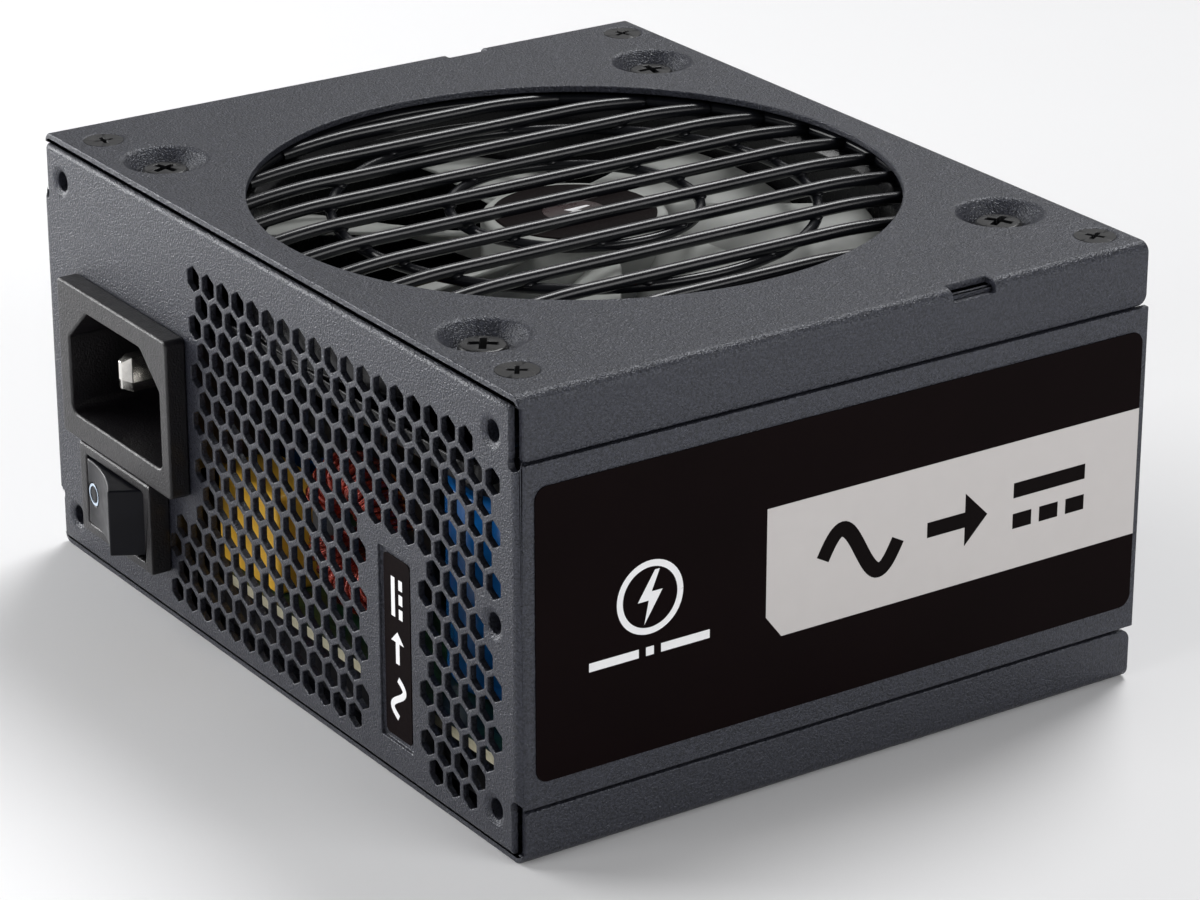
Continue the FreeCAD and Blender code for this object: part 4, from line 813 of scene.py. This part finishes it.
def can(profile_radius, height, centre, top_share=0.86):
    """A sleeved capacitor can and the bare metal top inside its sleeve's lip."""
    r = profile_radius
    lip = r * top_share
    sleeve = ([(0, 0), (r * 0.93, 0), (r * 0.97, 0.25), (r, 1.0), (r, 1.6), (r - 0.35, 2.1), (r - 0.35, 2.5),
               (r, 3.0)] + arc((r - 1.0, height - 1.0), 1.0, 0, 90, 5)
              + [(lip, height), (lip - 0.1, height - 0.15), (lip - 0.15, height - 0.4), (0, height - 0.4)])
    metal_top = [(0, height - 0.4), (lip - 0.2, height - 0.4), (lip - 0.2, height - 0.28),
                 (lip - 0.5, height - 0.2), (0, height - 0.2)]
    return (as_mesh("sleeve", lathe(sleeve, 56, centre)), as_mesh("top", lathe(metal_top, 40, centre)))


def capacitors():
    low, high = box_mm("bulk_capacitor")
    middle = (low + high) / 2
    sleeve, top = can((high.x - low.x) / 2, high.z - low.z, (middle.x, middle.y, low.z))
    add_piece("bulk_capacitor_finished", smooth_but_sharp(sleeve), "blue_sleeve", "case", ["bulk_capacitor"])
    add_piece("bulk_capacitor_top", smooth_but_sharp(top), "aluminium")
    low, high = box_mm("output_capacitors")
    sleeves, tops = [], []
    for centre in solid_centres("output_capacitors"):
        sleeve, top = can(4.9, high.z - low.z, (centre.x, centre.y, low.z))
        sleeves.append(sleeve)
        tops.append(top)
    add_piece("output_capacitors_finished", smooth_but_sharp(joined("sleeves", sleeves)), "dark_sleeve", "case",
              ["output_capacitors"])
    add_piece("output_capacitor_tops", smooth_but_sharp(joined("tops", tops)), "aluminium")
    eased_copy("line_capacitor", 0.8, 3)
    eased_copy("small_disc_capacitors", 0.6, 3)


def windings():
    low, high = box_mm("choke_core")
    centre = (low + high) / 2
    ring_winding("choke_winding_finished", centre, "Y", 7.8, 2.6, 3.9, ((15, 150), (195, 150)), 13, 0.45,
                 "choke_winding")
    low, high = box_mm("boost_inductor_core")
    centre = (low + high) / 2
    ring_winding("boost_inductor_winding_finished", centre, "X", 8.4, 3.0, 4.6, ((0, 300),), 30, 0.5,
                 "boost_inductor_winding")


def other_inside_parts():
    widths = {
        "main_circuit_board": 0.1, "board_spacers": 0.2, "board_screws": 0.08, "insulator_sheet": 0.05,
        "choke_core": 0.1, "fuse": 0.5, "bridge_rectifier": 0.4, "primary_heatsink": 0.15,
        "power_transistors": 0.3, "boost_inductor_core": 0.1, "transformer_core": 0.4,
        "transformer_winding": 0.6, "output_heatsink": 0.15,
    }
    for node, width in widths.items():
        eased_copy(node, width)
    eased_copy("control_board", 0.1, finish="board_across_x")
    eased_copy("socket_board", 0.1, finish="board_across_y")


def sockets():
    for node in sorted(BODY_OF):
        if node.startswith("socket_") and node not in ("socket_board", "socket_pins"):
            eased_copy(node, 0.15, slices=middles(node))
    eased_copy("socket_pins", 0.12)


# ---------------------------------------------------------------- stage

CAMERA_AZIMUTH, CAMERA_ELEVATION = 56.0, 22.45
CAMERA_DISTANCE, CAMERA_LENS = 595.0, 127.35
CAMERA_TARGET = Vector((3.86, 1.59, 25.12))
LIGHT_TARGET = Vector((0, 0, 0.03))
WORLD_STRENGTH, BACKDROP_STRENGTH = 0.12, 1.0


def looking(place, target):
    return (Vector(target) - Vector(place)).to_track_quat("-Z", "Y").to_euler()


def camera():
    azimuth, elevation = math.radians(CAMERA_AZIMUTH), math.radians(CAMERA_ELEVATION)
    back = Vector((math.sin(azimuth) * math.cos(elevation), -math.cos(azimuth) * math.cos(elevation),
                   math.sin(elevation)))
    place = (CAMERA_TARGET + back * CAMERA_DISTANCE) * MM
    data = bpy.data.cameras.new("camera")
    data.lens = CAMERA_LENS
    data.sensor_width = 36.0
    viewer = bpy.data.objects.new("camera", data)
    viewer.location = place
    viewer.rotation_euler = looking(place, CAMERA_TARGET * MM)
    bpy.context.scene.collection.objects.link(viewer)
    bpy.context.scene.camera = viewer


def softbox(name, direction, distance, wide, tall, power, mirrored=True):
    """A rectangular light in metres and watts, off in one direction and facing the object.

    A light that isn't mirrored adds no highlight of its own to glossy surfaces.
    """
    data = bpy.data.lights.new(name, "AREA")
    data.shape = "RECTANGLE"
    data.size, data.size_y = wide, tall
    data.energy = power
    lamp = bpy.data.objects.new(name, data)
    lamp.location = LIGHT_TARGET + Vector(direction).normalized() * distance
    lamp.rotation_euler = looking(lamp.location, LIGHT_TARGET)
    lamp.visible_glossy = mirrored
    bpy.context.scene.collection.objects.link(lamp)


def soft_sun(name, direction, angle, strength):
    """A wide even light over the whole floor, its angle in degrees and strength in watts per square metre."""
    data = bpy.data.lights.new(name, "SUN")
    data.angle = math.radians(angle)
    data.energy = strength
    lamp = bpy.data.objects.new(name, data)
    lamp.location = Vector(direction)
    lamp.rotation_euler = looking(lamp.location, (0, 0, 0))
    bpy.context.scene.collection.objects.link(lamp)


def surroundings():
    """A dim white world for light and reflections, which the camera itself sees as pale paper."""
    world = bpy.data.worlds.new("studio")
    world.use_nodes = True
    tree = world.node_tree
    backdrop = tree.nodes["Background"]
    backdrop.inputs["Color"].default_value = (1, 1, 1, 1)
    seen = tree.nodes.new("ShaderNodeMapRange")
    seen.inputs["To Min"].default_value = WORLD_STRENGTH
    seen.inputs["To Max"].default_value = BACKDROP_STRENGTH
    tree.links.new(tree.nodes.new("ShaderNodeLightPath").outputs["Is Camera Ray"], seen.inputs["Value"])
    tree.links.new(seen.outputs["Result"], backdrop.inputs["Strength"])
    bpy.context.scene.world = world


def studio():
    shape = bmesh.new()
    bmesh.ops.create_grid(shape, x_segments=2, y_segments=2, size=6.0)
    mesh = bpy.data.meshes.new("floor")
    shape.to_mesh(mesh)
    shape.free()
    floor = bpy.data.objects.new("floor", mesh)
    floor.location.z = -0.1 * MM
    bpy.context.scene.collection.objects.link(floor)
    paper = Finish("paper", (0.86, 0.86, 0.87), 0.8, Specular_IOR_Level=0.1)
    paper.vary(40.0, 0.995, 1.0)
    mesh.materials.append(paper.material)
    surroundings()
    bpy.context.scene.view_settings.view_transform = "Standard"
    soft_sun("overhead_sun", (-0.3, 0.5, 0.8), 25, 1.95)
    softbox("left_box", (-1.0, -0.45, 0.07), 0.9, 0.6, 0.2, 4.3)
    softbox("rear_box", (-0.77, -0.55, 0.5), 1.0, 0.6, 0.5, 5)
    softbox("vent_box", (0.05, -1.0, 0.3), 0.9, 0.5, 0.4, 3, False)
    softbox("far_box", (-0.77, 0.52, 0.45), 1.2, 1.0, 0.5, 0.8)
    softbox("label_side_box", (1.0, 0.4, 0.4), 0.9, 0.6, 0.5, 3.6)


enclosure()
screws()
labels()
grille()
fan()
inlet_and_switch()
capacitors()
windings()
other_inside_parts()
sockets()
for slot_node, slot_name in SLOT_OF.items():
    shown = frame["nodes"][slot_node]
    shown.data.materials.clear()
    shown.data.materials.append(FINISHES[slot_name])
camera()
studio()
